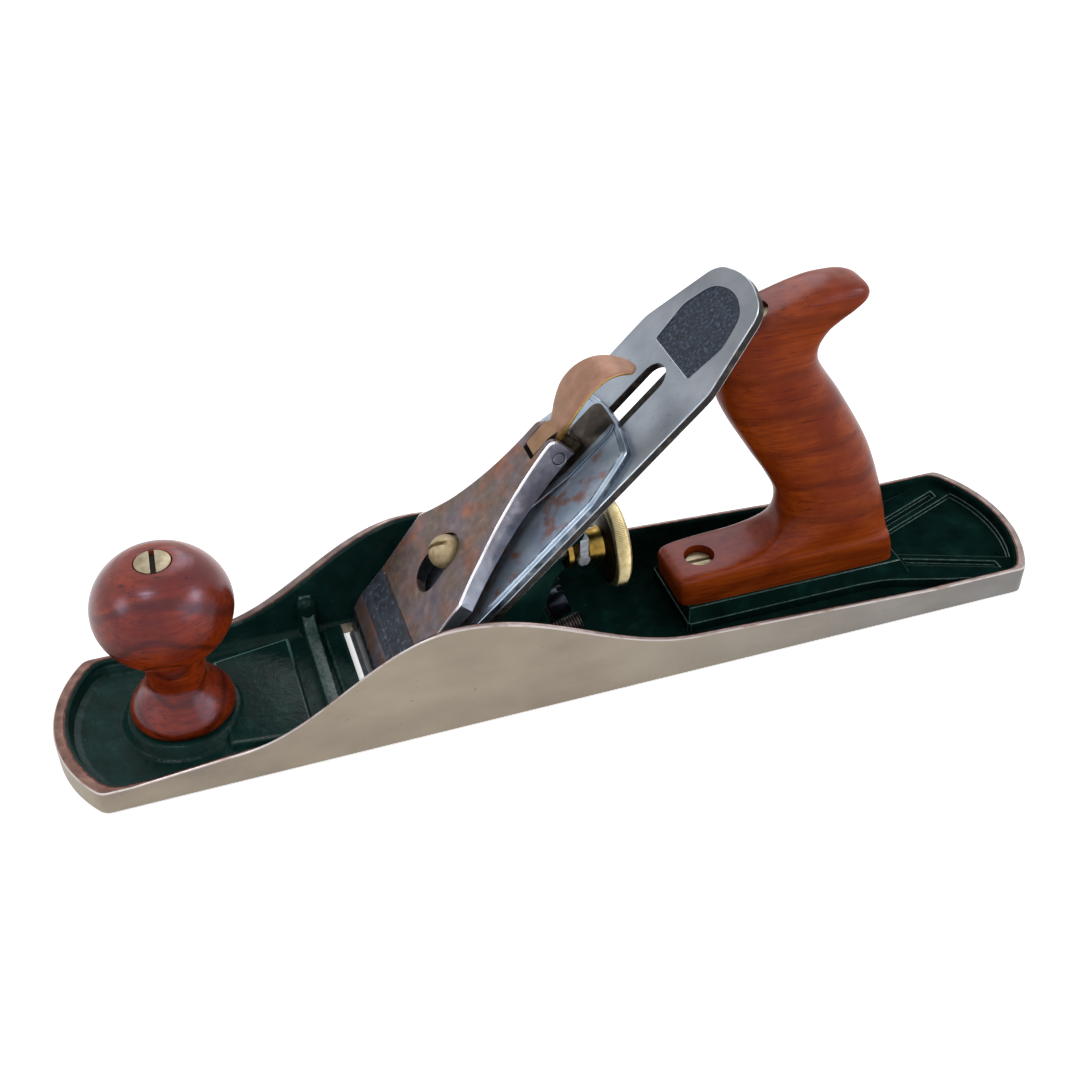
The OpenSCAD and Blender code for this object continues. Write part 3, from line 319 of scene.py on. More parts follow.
for ring in range(len(WALL_RINGS) - 1):
    for i in range(count):
        j = (i + 1) % count
        faces.append((ring * count + i, ring * count + j, (ring + 1) * count + j, (ring + 1) * count + i))
        surfaces.append(SLOTS.index(WALL_RINGS[ring + 1][3]))
faces.append(tuple(range(count)))
surfaces.append(0)
last = (len(WALL_RINGS) - 1) * count
faces.append(tuple(range(last, last + count)))
surfaces.append(4)
casting = new_piece("casting_shell", verts, faces)
for face, surface in zip(casting.data.polygons, surfaces):
    face.material_index = surface


def rock(tree, scale_mm, detail=4.0, stretch=None, lean=0.0):
    """Noise whose blotches are scale_mm across, stretched along axes of the part if asked."""
    place = add_node(tree, "ShaderNodeTexCoord")
    turn = add_node(tree, "ShaderNodeMapping", {"Rotation": (0, lean, 0)}, {"Vector": place.outputs["Object"]})
    size = add_node(tree, "ShaderNodeMapping", {"Scale": stretch or (1, 1, 1)}, {"Vector": turn.outputs[0]})
    return add_node(tree, "ShaderNodeTexNoise",
                    {"Scale": 1 / (scale_mm * MM), "Detail": detail, "Roughness": 0.55}, {"Vector": size.outputs[0]})


def ramp(tree, source, stops):
    """Colours along a value, each stop a place and a hex colour."""
    made = add_node(tree, "ShaderNodeValToRGB", links={"Fac": source})
    while len(made.color_ramp.elements) < len(stops):
        made.color_ramp.elements.new(0.5)
    for element, (place, colour) in zip(made.color_ramp.elements, stops):
        element.position = place
        element.color = linear(colour)
    return made


def mix(tree, amount, a, b):
    """Mixes two colours by an amount; each is an output or a hex colour."""
    made = add_node(tree, "ShaderNodeMix", {"data_type": "RGBA"})
    tree.links.new(amount, made.inputs[0])
    for socket, value in ((6, a), (7, b)):
        if isinstance(value, str):
            made.inputs[socket].default_value = linear(value)
        else:
            tree.links.new(value, made.inputs[socket])
    return made.outputs[2]


def finish(name, colour, settings, bumps=(), roughness=None, shine=None):
    """A Principled material. colour, roughness and shine are functions that draw on the tree, or plain values;
    bumps are noise outputs with their height in millimetres."""
    made = bpy.data.materials.new(name)
    made.use_nodes = True
    tree = made.node_tree
    shader = tree.nodes["Principled BSDF"]
    if isinstance(colour, str):
        shader.inputs["Base Color"].default_value = linear(colour)
    else:
        tree.links.new(colour(tree), shader.inputs["Base Color"])
    for socket, value in settings.items():
        shader.inputs[socket].default_value = value
    if roughness:
        tree.links.new(roughness(tree), shader.inputs["Roughness"])
    if shine:
        tree.links.new(shine(tree), shader.inputs["Specular IOR Level"])
    normal = None
    for draw, height in bumps:
        bump = add_node(tree, "ShaderNodeBump", {"Strength": 1.0, "Distance": height * MM}, {"Height": draw(tree)})
        if normal:
            tree.links.new(normal, bump.inputs["Normal"])
        normal = bump.outputs[0]
    if normal:
        tree.links.new(normal, shader.inputs["Normal"])
    return made


def along(tree, axis, start_mm, end_mm):
    """A value that runs from 0 to 1 along one axis of the part."""
    place = add_node(tree, "ShaderNodeTexCoord")
    parts = add_node(tree, "ShaderNodeSeparateXYZ", links={0: place.outputs["Object"]})
    run = add_node(tree, "ShaderNodeMapRange", {"From Min": start_mm * MM, "From Max": end_mm * MM},
                   {"Value": parts.outputs[axis]})
    return run.outputs[0]


def span(tree, amount, low, high):
    """Runs a value from low to high as amount goes from 0 to 1."""
    made = add_node(tree, "ShaderNodeMapRange", {"To Min": low, "To Max": high}, {"Value": amount})
    return made.outputs[0]


def blotches(tree, scale_mm, low, high, detail=5.0, stretch=None):
    """Noise squeezed to black and white: patches scale_mm across, with edges from low to high."""
    spread = add_node(tree, "ShaderNodeMapRange", {"From Min": low, "From Max": high},
                      {"Value": rock(tree, scale_mm, detail, stretch).outputs[0]})
    return spread.outputs[0]


# Ground cast iron: lighter olive tan by the toe and darker grey by the heel, cloudy, with rust pricks.
ground_iron = finish(
    "ground_cast_iron",
    lambda t: mix(t, blotches(t, 1.6, 0.66, 0.76, 3),
                  mix(t, along(t, "X", -10, 150),
                      ramp(t, rock(t, 24, 4, (0.5, 1, 1)).outputs[0],
                           [(0.3, "#82776A"), (0.5, "#938877"), (0.72, "#A19685")]).outputs[0],
                      ramp(t, rock(t, 20, 4, (0.5, 1, 1)).outputs[0],
                           [(0.3, "#6A6661"), (0.5, "#777470"), (0.72, "#868482")]).outputs[0]),
                  "#62574A"),
    {"Metallic": 0.6, "Roughness": 0.44},
    [(lambda t: rock(t, 0.7, 2, (0.05, 1, 1)).outputs[0], 0.015)])
# The arris between side and rim is rubbed bright; the eye reads it as a thin pale line.
bright_arris = finish(
    "rubbed_arris",
    lambda t: mix(t, blotches(t, 7, 0.52, 0.7), "#BDB5B2", "#9A8278"),
    {"Metallic": 0.8, "Roughness": 0.36})
# The rim's flat was linished and has browned, most of all round the toe.
rim_iron = finish(
    "rim_linished_iron",
    lambda t: mix(t, along(t, "X", -150, -120),
                  ramp(t, rock(t, 5, 5).outputs[0], [(0.3, "#5E4039"), (0.5, "#7A5A50"), (0.7, "#957368")]).outputs[0],
                  ramp(t, rock(t, 5, 5).outputs[0], [(0.3, "#766560"), (0.5, "#958581"), (0.7, "#AA9B96")]).outputs[0]),
    {"Metallic": 0.6, "Roughness": 0.42})
rust_line = finish(
    "rim_rust_line",
    lambda t: ramp(t, rock(t, 2.5, 4).outputs[0], [(0.35, "#2E1610"), (0.52, "#5A2617"), (0.7, "#8A432A")]).outputs[0],
    {"Metallic": 0.2, "Roughness": 0.6})
# Brushed green enamel over sand-cast iron: nearly black, darker towards the heel, with light flecks of chipped paint
# and of painted glints off the cast lumps.
green_enamel = finish(
    "green_enamel",
    lambda t: mix(t, blotches(t, 1.2, 0.7, 0.78, 3),
                  mix(t, along(t, "X", -40, 0),
                      ramp(t, rock(t, 9, 5).outputs[0],
                           [(0.3, "#0A211E"), (0.6, "#122F2B"), (0.8, "#1D423B")]).outputs[0],
                      ramp(t, rock(t, 9, 5).outputs[0],
                           [(0.3, "#061412"), (0.6, "#0A201C"), (0.8, "#123029")]).outputs[0]),
                  "#2C6257"),
    {"Roughness": 0.24},
    [(lambda t: rock(t, 3.2, 3).outputs[0], 0.28), (lambda t: rock(t, 0.6, 2).outputs[0], 0.05)],
    shine=lambda t: span(t, along(t, "X", -60, -10), 0.08, 0.0))
# Brushed enamel runs thin over the cast edges; its lighter broken line there is thin paint and a painted highlight.
edge_enamel_painted_glint = finish(
    "thin_edge_enamel_painted_glint",
    lambda t: mix(t, blotches(t, 2.2, 0.42, 0.66, 4), "#16332E", "#35524C"),
    {"Roughness": 0.26, "Specular IOR Level": 0.3},
    [(lambda t: rock(t, 1.6, 3).outputs[0], 0.2)])
# On the pad behind the knob the edge colour runs from dark on the near side to light on the far side, a painted
# highlight on the far edge.
toe_pad_painted_highlight = finish(
    "toe_pad_enamel_painted_highlight",
    lambda t: mix(t, along(t, "Y", 8, 21), "#16332E", "#587C76"),
    {"Roughness": 0.3, "Specular IOR Level": 0.3},
    [(lambda t: rock(t, 1.6, 3).outputs[0], 0.2)])
for material in (ground_iron, bright_arris, rim_iron, rust_line, green_enamel):
    casting.data.materials.append(material)
cut(casting, [block("mouth_cutter", (MOUTH_FRONT, -MOUTH_HALF, -2), (MOUTH_BACK, MOUTH_HALF, SOLE + 2))])
casting.data.shade_smooth()
casting.data.set_sharp_from_angle(angle=math.radians(40))
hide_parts("body_casting")


# Lands inside the casting: boss and pad of the knob, cross rib, lip, frog seat, pedestal and heel panel.
# All are cast in one with the sole, so their edges are round and the same paint runs over them.
def lathe(name, profile, centre, body="casting", steps=96):
    """Turns a profile of radius and height about a standing axis, in millimetres."""
    verts = []
    faces = []
    for i in range(steps):
        a = 2 * math.pi * i / steps
        verts += [(centre[0] + r * math.cos(a), centre[1] + r * math.sin(a), centre[2] + z) for r, z in profile]
    n = len(profile)
    for i in range(steps):
        j = (i + 1) % steps
        faces += [(i * n + k, j * n + k, j * n + k + 1, i * n + k + 1) for k in range(n - 1)]
    faces.append(tuple(i * n for i in range(steps))[::-1])
    faces.append(tuple(i * n + n - 1 for i in range(steps)))
    piece = new_piece(name, verts, faces, body)
    piece.data.set_sharp_from_angle(angle=math.radians(50))
    return piece


def slab(name, outline, low, high, body="casting", draft=0.0):
    """A flat-topped land from a plan outline. Its foot is wider than its top by the draft."""
    n = len(outline)
    cx = sum(x for x, y in outline) / n
    cy = sum(y for x, y in outline) / n
    foot = []
    for x, y in outline:
        away = Vector((x - cx, y - cy)).normalized() * draft
        foot.append((x + away.x, y + away.y, low))
    verts = foot + [(x, y, high) for x, y in outline]
    faces = [tuple(range(n))[::-1], tuple(range(n, 2 * n))]
    faces += [(i, (i + 1) % n, n + (i + 1) % n, n + i) for i in range(n)]
    return new_piece(name, verts, faces, body, False)


def side_slab(name, outline, y0, y1, body="casting"):
    """A piece from a side outline of x and z, pushed out from y0 to y1."""
    n = len(outline)
    verts = [(x, y0, z) for x, z in outline] + [(x, y1, z) for x, z in outline]
    faces = [tuple(range(n)), tuple(range(n, 2 * n))[::-1]]
    faces += [(i, n + i, n + (i + 1) % n, (i + 1) % n) for i in range(n)]
    return new_piece(name, verts, faces, body, False)


KNOB_X = -135.5
BOSS = 8.0
RIB_X = -90.4
RIB_THICK = 4.5
RIB_HEIGHT = 10.6
RIB_TOP = 19.6
SEAT_ANGLE = math.radians(18)
SEAT_LENGTH = 54.6
SEAT_START = 4.5
PEDESTAL = 11.7
PLINTH = 7.8
PANEL = 6.0
FAN_SLOPE = 0.384
FAN_APEX = 114.1


def seat_point(a, b):
    """A point along the frog's seat and square to it, as x and z."""
    return (MOUTH_BACK + a * math.cos(SEAT_ANGLE) - b * math.sin(SEAT_ANGLE),
            SEAT_START + a * math.sin(SEAT_ANGLE) + b * math.cos(SEAT_ANGLE))


def both_sides(half_outline):
    return half_outline + [(x, -y) for x, y in half_outline[::-1]]


lands = [
    lathe("knob_boss", [(22.4, 3.9), (21.0, 4.2), (20.2, 4.9), (18.9, 7.2), (18.2, 7.85), (17.4, BOSS), (2, BOSS)],
          (KNOB_X, 0, 0)),
    slab("nose_pad", [(KNOB_X + 12, -20), (RIB_X - 6, -24), (RIB_X - 6, 24), (KNOB_X + 12, 20)], 3, 6.5, draft=1.5),
    slab("mouth_lip", [(-84, -25), (-82.5, -26.4), (MOUTH_FRONT, -26.4), (MOUTH_FRONT, 26.4), (-82.5, 26.4),
                       (-84, 25)], 1, 5.6),
    side_slab("frog_seat", [(MOUTH_BACK, 1), (MOUTH_BACK, SEAT_START), seat_point(SEAT_LENGTH, 0),
                            seat_point(SEAT_LENGTH, -21.6)], -23, 23),
]
# the rib climbs the cheeks in a curve and ends there in a rounded foot
rib_half = [(29.6, 3), (29.6, RIB_TOP), (28.4, RIB_TOP), (27.3, 17.6), (25.8, 14.4), (24.2, 12.2), (22.2, 11.0),
            (19, RIB_HEIGHT)]
n = len(rib_half) * 2
rib_outline = both_sides([(z, y) for y, z in rib_half])
rib = new_piece("cross_rib", [(RIB_X, y, z) for z, y in rib_outline]
                + [(RIB_X + RIB_THICK, y, z) for z, y in rib_outline],
                [tuple(range(n)), tuple(range(n, 2 * n))[::-1]]
                + [(i, n + i, n + (i + 1) % n, (i + 1) % n) for i in range(n)], smooth=False)
lands.append(rib)
for side in (-1, 1):
    lands.append(lathe("rib_foot_%s" % ("near" if side < 0 else "far"),
                       [(3.7, 3.9), (3.6, 6.0), (3.4, 16.8), (3.0, 17.9), (2.1, 18.7), (0.4, 19.2)],
                       (RIB_X + RIB_THICK / 2, side * 28.1, 0), steps=40))
# plinth and heel pad, cut off at the heel wall, with the sunk fan panel and the grooves beside its ridges
plinth = slab("heel_pad", both_sides([(39.5, 16), (40.5, 17), (108, 17), (116, 17.6), (121, 18.6), (136, 23.4),
                                      (140.4, 24.9), (145, 26), (156, 29), (160.8, 31), (177, 31)]), 1, PLINTH)
inner_plan = slab("heel_pad_limit", [p for p in plan_loop(CHEEK - 1, TOE_WALL - 2, HEEL_WALL - 2, 3.0)], -1, 30)
cut(plinth, [inner_plan], "INTERSECT")
arc_r = 48.8
arc_x = BODY_LENGTH / 2 - 53.6
fan_arc = [(arc_x + arc_r * math.cos(math.radians(a)), arc_r * math.sin(math.radians(a)))
           for a in (25.2, 19, 12.6, 6.3, 0)]
panel = slab("panel_cutter", both_sides([(129, FAN_SLOPE * (129 - FAN_APEX))] + fan_arc[:-1])[:5]
             + [fan_arc[-1]] + [(x, -y) for x, y in fan_arc[:-1][::-1]]
             + [(129, -FAN_SLOPE * (129 - FAN_APEX))], PANEL, 30)
grooves = [slab("groove_cutter", [(x, side * (FAN_SLOPE * (x - FAN_APEX) + out)) for x, out in
                                  ((130, 3), (161.8, 3), (161.8, 6.4), (130, 6.4))], PANEL, 30) for side in (-1, 1)]
cut(plinth, [panel] + grooves)
lands.append(plinth)
# pedestal of the tote, with sloping flanks: station and the height it reaches there
verts = []
PEDESTAL_ROWS = ((40.0, PLINTH + 0.05), (41.4, PEDESTAL), (126.0, PEDESTAL), (128.4, PLINTH + 0.05))
for x, top in PEDESTAL_ROWS:
    half = blend(16.4, 12.9, (top - 7.6) / (PEDESTAL - 7.6))
    verts += [(x, -16.4, 2), (x, -16.4, 7.6), (x, -half, top), (x, half, top), (x, 16.4, 7.6), (x, 16.4, 2)]
faces = [tuple(range(6)), tuple(range(18, 24))[::-1]]
for r in range(3):
    faces += [(r * 6 + k, r * 6 + 6 + k, r * 6 + 6 + (k + 1) % 6, r * 6 + (k + 1) % 6) for k in range(6)]
lands.append(new_piece("pedestal", verts, faces, smooth=False))
for piece in lands:
    # The cross rib takes the lighter edge enamel all over, a painted highlight on its lit faces.
    piece.data.materials.append(edge_enamel_painted_glint if piece.name == "cross_rib" else green_enamel)
    piece.data.materials.append(toe_pad_painted_highlight if piece.name == "nose_pad" else edge_enamel_painted_glint)
    if not piece.name.startswith(("knob_boss", "rib_foot")):
        soften(piece, {"cross_rib": 1.3, "mouth_lip": 1.2, "pedestal": 1.5, "heel_pad": 0.8}.get(piece.name, 1.0))


# Front knob: one piece of rosewood turned on a lathe and varnished, held down by a slotted nut on a stud.
# Its growth rings lie level, so dark lines run round the ball and open into an eye at its front.
def rosewood(name, light, deep, vein, eye, ring_mm, streak, lines, roughness, shine):
    """Varnished rosewood in three colours. eye is a point on the level line that the growth rings go round,
    in millimetres, streak squeezes the streaks along each axis, and lines is how dark the rings are."""
    def colour(tree):
        base = mix(tree, blotches(tree, 16, 0.4, 0.66, 4), light, deep)
        streaks = mix(tree, blotches(tree, 1.1, 0.42, 0.72, 4, streak), base, deep)
        veined = mix(tree, blotches(tree, 0.7, 0.6, 0.75, 3, streak), streaks, vein)
        place = add_node(tree, "ShaderNodeTexCoord")
        centred = add_node(tree, "ShaderNodeMapping", {"Location": [-c * MM for c in eye]},
                           {"Vector": place.outputs["Object"]})
        rings = add_node(tree, "ShaderNodeTexWave",
                         {"wave_type": "RINGS", "rings_direction": "Y", "Scale": 0.314 / (ring_mm * MM),
                          "Distortion": 4.0, "Detail": 2.0, "Detail Scale": 0.8}, {"Vector": centred.outputs[0]})
        line = add_node(tree, "ShaderNodeMapRange", {"From Max": 0.2, "To Min": lines, "To Max": 0.0},
                        {"Value": rings.outputs["Fac"]})
        return mix(tree, line.outputs[0], veined, vein)
    def polish(tree):
        # rubbed bright where it faces up, and dull beneath
        facing = add_node(tree, "ShaderNodeNewGeometry")
        parts = add_node(tree, "ShaderNodeSeparateXYZ", links={0: facing.outputs["Normal"]})
        upward = add_node(tree, "ShaderNodeMapRange", {"From Min": -0.1, "From Max": 0.5},
                          {"Value": parts.outputs["Z"]})
        return span(tree, upward.outputs[0], 0.03, shine)
    return finish(name, colour,
                  {"Roughness": roughness, "IOR": 1.46, "Specular Tint": (0.8, 0.76, 1.0, 1)},
                  [(lambda t: rock(t, 0.9, 3, streak).outputs[0], 0.03)], shine=polish)


BALL_R = 22.3
BALL_Z = 44.4
NECK_R = 9.8
NECK_LOW = 16.0
FOOT_R = 17.3
KNOB_HEIGHT = 62.6
NUT_R = 5.65
NUT_DEPTH = 9.2


def knob_radius(z):
    """Radius of the knob at a height: bell foot, straight neck, then the flattened ball."""
    part = (z - BALL_Z) / (20 if z > BALL_Z else 19)
    ball = BALL_R * math.sqrt(max(0, 1 - part * part))
    if z < 2.2:
        return FOOT_R - 1.3 + 1.3 * math.sin(math.pi / 2 * z / 2.2)
    if z < NECK_LOW:
        return blend(NECK_R, FOOT_R, ease((NECK_LOW - z) / (NECK_LOW - 2.2)))
    # the turner's fillet between neck and ball
    if ball < 16 and z < BALL_Z:
        return math.log(math.exp(ball / 1.2) + math.exp(NECK_R / 1.2)) * 1.2
    return ball


heights = [0.0] + [0.3 * i for i in range(1, 8)] + [2.2 + 0.55 * i for i in range(1, 109)]
knob_profile = [(knob_radius(z), z) for z in heights if z < 61.2]
knob_profile += [(11.5, 61.35), (10.7, 61.75), (9.7, 62.1), (8.6, 62.36), (7.4, 62.53)]
knob_profile = [(3.3, 0)] + knob_profile + [(NUT_R + 0.5, KNOB_HEIGHT), (NUT_R + 0.15, KNOB_HEIGHT - 0.4),
                                            (NUT_R + 0.1, KNOB_HEIGHT - NUT_DEPTH), (3.4, KNOB_HEIGHT - NUT_DEPTH)]
knob = lathe("rosewood_knob", knob_profile, (KNOB_X, 0, BOSS))
knob.data.materials.append(rosewood("varnished_rosewood_knob", "#8A330E", "#5E1B07", "#280B05",
                                    (KNOB_X - 2, 0, 38), 9, (0.1, 0.5, 1), 0.55, 0.25, 0.58))
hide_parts("knob")


def from_cad(name, node, body, width=0.25, surfaces=(), choose=None, arris=None, angle=28.0, segments=2,
             reshape=None, rubbed=None):
    """A machined part taken from its solid with its edges broken, width in millimetres.
    choose gives each face's place in surfaces, and arris is the place that the broken edges take where
    rubbed says so. reshape changes the solid before its edges are broken."""
    mesh = frame["nodes"][node].data.copy()
    mesh.name = name
    mesh.materials.clear()
    for material in surfaces:
        mesh.materials.append(material)
    piece = bpy.data.objects.new(name, mesh)
    bpy.context.collection.objects.link(piece)
    solid = bmesh.new()
    solid.from_mesh(mesh)
    bmesh.ops.remove_doubles(solid, verts=solid.verts, dist=0.003 * MM)
    bmesh.ops.dissolve_limit(solid, angle_limit=math.radians(0.6), verts=solid.verts, edges=solid.edges)
    if reshape:
        reshape(solid)
    bmesh.ops.recalc_face_normals(solid, faces=solid.faces)
    solid.to_mesh(mesh)
    solid.free()
    for face in mesh.polygons:
        face.use_smooth = False
        face.material_index = choose(face.center / MM, face.normal) if choose else 0
    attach(piece, body)
    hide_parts(node)
    if width:
        rounding = piece.modifiers.new("broken_edges", "BEVEL")
        rounding.width = width * MM
        rounding.segments = segments
        rounding.limit_method = "ANGLE"
        rounding.angle_limit = math.radians(angle)
        rounding.use_clamp_overlap = False
        if arris is not None:
            rounding.material = arris
        bpy.context.view_layer.update()
        apply_modifiers(piece)
        for face in piece.data.polygons if rubbed else ():
            if face.material_index == arris and not rubbed(face.center / MM, face.normal):
                face.material_index = choose(face.center / MM, face.normal)
    piece.data.shade_smooth()
    piece.data.set_sharp_from_angle(angle=math.radians(25 if width else 32))
    return piece


# Slotted nuts, toe screw and studs: turned brass that has dulled, and plain steel rods out of sight.
# The eye gets soft old gold with turning marks, and a slot painted dark as painted shade.
dull_brass = finish(
    "dulled_brass",
    lambda t: mix(t, blotches(t, 3.0, 0.45, 0.75), "#A69A80", "#7E7256"),
    {"Metallic": 0.75, "Roughness": 0.42},
    [(lambda t: rock(t, 0.5, 3, (0.3, 1, 1)).outputs[0], 0.02)])
slot_painted_shade = finish("painted_shade_in_slot", "#2A241E", {"Roughness": 0.7, "Specular IOR Level": 0.2})
plain_steel = finish(
    "plain_steel",
    lambda t: mix(t, blotches(t, 2.0, 0.5, 0.7), "#8B8C8E", "#6A625C"),
    {"Metallic": 0.9, "Roughness": 0.4})


def turn_the_slot(solid):
    """Turns the knob's nut to where the screwdriver left its slot."""
    middle = Matrix.Translation((KNOB_X * MM, 0, 0))
    solid.transform(middle @ Matrix.Rotation(math.radians(16), 4, "Z") @ middle.inverted())


def brass_surface(point, normal):
    """The slot of the knob's nut is painted dark, a painted shade in its recess."""
    off = math.hypot(point.x - KNOB_X, point.y)
    return 1 if off < NUT_R - 0.5 and BOSS + KNOB_HEIGHT - 3.5 < point.z < BOSS + KNOB_HEIGHT - 0.35 else 0


for name, node, reshape in (("knob_nut_dressed", "knob_nut", turn_the_slot), ("tote_nut_dressed", "tote_nut", None),
                            ("toe_screw_dressed", "tote_toe_screw", None)):
    from_cad(name, node, "casting", 0.2, [dull_brass, slot_painted_shade], brass_surface, reshape=reshape)
for node in ("knob_stud", "tote_stud"):
    stud = frame["nodes"][node]
    stud.data.materials.clear()
    stud.data.materials.append(plain_steel)


# Tote: the rear handle, sawn from a board and rasped round, with a level grain and a varnished surface.
# Its back is a soft oval, its toe is square-edged, and a crisp line is left under the flat of the horn.
# height, front, back, half width and squareness of each level slice, from the toe end and the pedestal
TOTE_X = 38.0
TOTE_THICK = 24.0
TOTE_HEIGHT = 117.5
TOTE_ROWS = (
    (0, 0.8, 86, 1, 12), (5, 0.1, 85.3, 1, 12), (10.4, 0.3, 84, 0.98, 11), (12, 6, 83.7, 0.96, 8),
    (13.2, 21, 83.4, 0.95, 6), (16.3, 33.5, 83, 0.96, 4), (21.7, 39.7, 82.2, 0.98, 3),
    (32.3, 40.4, 79.2, 1, 2.6), (44, 34.6, 75, 1, 2.5), (55.7, 27, 69.6, 1, 2.5),
    (76.2, 14.9, 57, 1, 2.6), (90, 11.4, 47.6, 0.97, 2.7), (97, 10.8, 46.4, 0.92, 3),
    (103.3, 11.4, 49.8, 0.88, 3.3), (107, 13, 54.4, 0.87, 3.6), (110, 19.4, 58.4, 0.86, 4),
    (113, 28, 61.4, 0.83, 4), (116, 36.5, 61.2, 0.74, 3.6), (118, 42.5, 57.6, 0.56, 2.8), (119, 47, 51, 0.2, 2))
RING = 96
STEPS = 6


def row_slope(i, c):
    a = max(0, i - 1)
    b = min(len(TOTE_ROWS) - 1, i + 1)
    return (TOTE_ROWS[b][c] - TOTE_ROWS[a][c]) / (TOTE_ROWS[b][0] - TOTE_ROWS[a][0])


def between_rows(i, t, c):
    """A value between two slices, on a smooth curve through all of them."""
    low = TOTE_ROWS[i]
    high = TOTE_ROWS[i + 1]
    if c == 0:
        return blend(low[0], high[0], t)
    rise = high[0] - low[0]
    return ((2 * t ** 3 - 3 * t ** 2 + 1) * low[c] + (t ** 3 - 2 * t ** 2 + t) * rise * row_slope(i, c)
            + (3 * t ** 2 - 2 * t ** 3) * high[c] + (t ** 3 - t ** 2) * rise * row_slope(i + 1, c))


def squircle(v, square):
    return math.copysign(abs(v) ** (2 / square), v)


slices = [[between_rows(i, k / STEPS, c) for c in range(5)] for i in range(len(TOTE_ROWS) - 1) for k in range(STEPS)]
slices.append(list(TOTE_ROWS[-1]))
verts = []
for height, front, rear, half, square in slices:
    mid = (front + rear) / 2
    reach = (rear - front) / 2
    for j in range(RING):
        a = 2 * math.pi * j / RING
        verts.append((TOTE_X + mid + reach * squircle(math.cos(a), square),
                      TOTE_THICK / 2 * half * squircle(math.sin(a), square),
                      PEDESTAL + height * TOTE_HEIGHT / 119))
faces = [tuple(range(RING))[::-1], tuple(range(len(verts) - RING, len(verts)))]
for i in range(len(slices) - 1):
    faces += [(i * RING + j, i * RING + (j + 1) % RING, (i + 1) * RING + (j + 1) % RING, (i + 1) * RING + j)
              for j in range(RING)]
tote = new_piece("rosewood_tote", verts, faces)
ROD_FOOT = (TOTE_X + 74.8, 0, PEDESTAL)
ROD_LEAN = -math.atan2(52.3, 109.3)
ROD_LENGTH = 119.0
nut_well = lathe("nut_well", [(NUT_R + 0.1, ROD_LENGTH - 10), (NUT_R + 0.1, ROD_LENGTH + 30)], (0, 0, 0))
nut_well.data.transform(Matrix.Translation([c * MM for c in ROD_FOOT]) @ Matrix.Rotation(ROD_LEAN, 4, "Y"))
screw_well = lathe("screw_well", [(5.5, PEDESTAL + 7.2), (5.5, PEDESTAL + 20)], (TOTE_X + 11.7, 0, 0))
cut(tote, [nut_well, screw_well])
tote.data.shade_smooth()
tote.data.set_sharp_from_angle(angle=math.radians(40))
tote.data.materials.append(rosewood("varnished_rosewood_tote", "#8F3D10", "#72290A", "#451505",
                                    (TOTE_X + 60, 0, -150), 17, (0.05, 0.5, 1), 0.35, 0.28, 0.25))
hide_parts("tote")


# Frog: a cast iron wedge that carries the irons, painted like the body and machined on its bed and foot.
# Two headed pins hold it down; a lock screw bears on each pin from behind, and a third screw slides it.
BED_ANGLE = math.radians(45)
BED_ORIGIN = Vector((-71.1, 0, 0))
BED_ALONG = Vector((math.cos(BED_ANGLE), 0, math.sin(BED_ANGLE)))
BED_UP = Vector((-math.sin(BED_ANGLE), 0, math.cos(BED_ANGLE)))
PLATE_TOP = 80.0


def on_bed(point):
    """A place in millimetres given along the bed, across it and above it."""
    away = point - BED_ORIGIN
    return Vector((away.dot(BED_ALONG), away.y, away.dot(BED_UP)))


def frog_surface(point, normal):
    spot = on_bed(point)
    if normal.dot(BED_UP) > 0.98 and spot.z > -3:
        return 1
    if abs(normal.y) > 0.98 and abs(point.y) > 21.5 and spot.z > -8.5 and spot.x > 24:
        return 2
    return 0


# Machined beds show bare grey iron; the plate's sides keep thin paint that has gone olive and dull.
machined_iron = finish(
    "machined_bed_iron",
    lambda t: mix(t, blotches(t, 4, 0.42, 0.7), "#8E9196", "#6F6A66"),
    {"Metallic": 0.8, "Roughness": 0.42},
    [(lambda t: rock(t, 0.6, 2, (1, 0.05, 1)).outputs[0], 0.02)])
olive_paint = finish(
    "worn_olive_paint",
    lambda t: ramp(t, rock(t, 5, 5).outputs[0], [(0.3, "#20281F"), (0.55, "#2F372B"), (0.75, "#454A3C")]).outputs[0],
    {"Roughness": 0.42, "Specular IOR Level": 0.3},
    [(lambda t: rock(t, 1.8, 3).outputs[0], 0.12)])
frog = from_cad("painted_frog", "frog", "frog", 0.7, [green_enamel, machined_iron, olive_paint], frog_surface, angle=40)


def seat_axis(tree, wave_mm):
    """Fine turns of a thread along the frog's seat, as a height for a bump."""
    place = add_node(tree, "ShaderNodeTexCoord")
    turn = add_node(tree, "ShaderNodeMapping", {"Rotation": (0, SEAT_ANGLE, 0)}, {"Vector": place.outputs["Object"]})
    return add_node(tree, "ShaderNodeTexWave",
                    {"wave_type": "BANDS", "bands_direction": "X", "Scale": 0.314 / (wave_mm * MM)},
                    {"Vector": turn.outputs[0]}).outputs["Fac"]


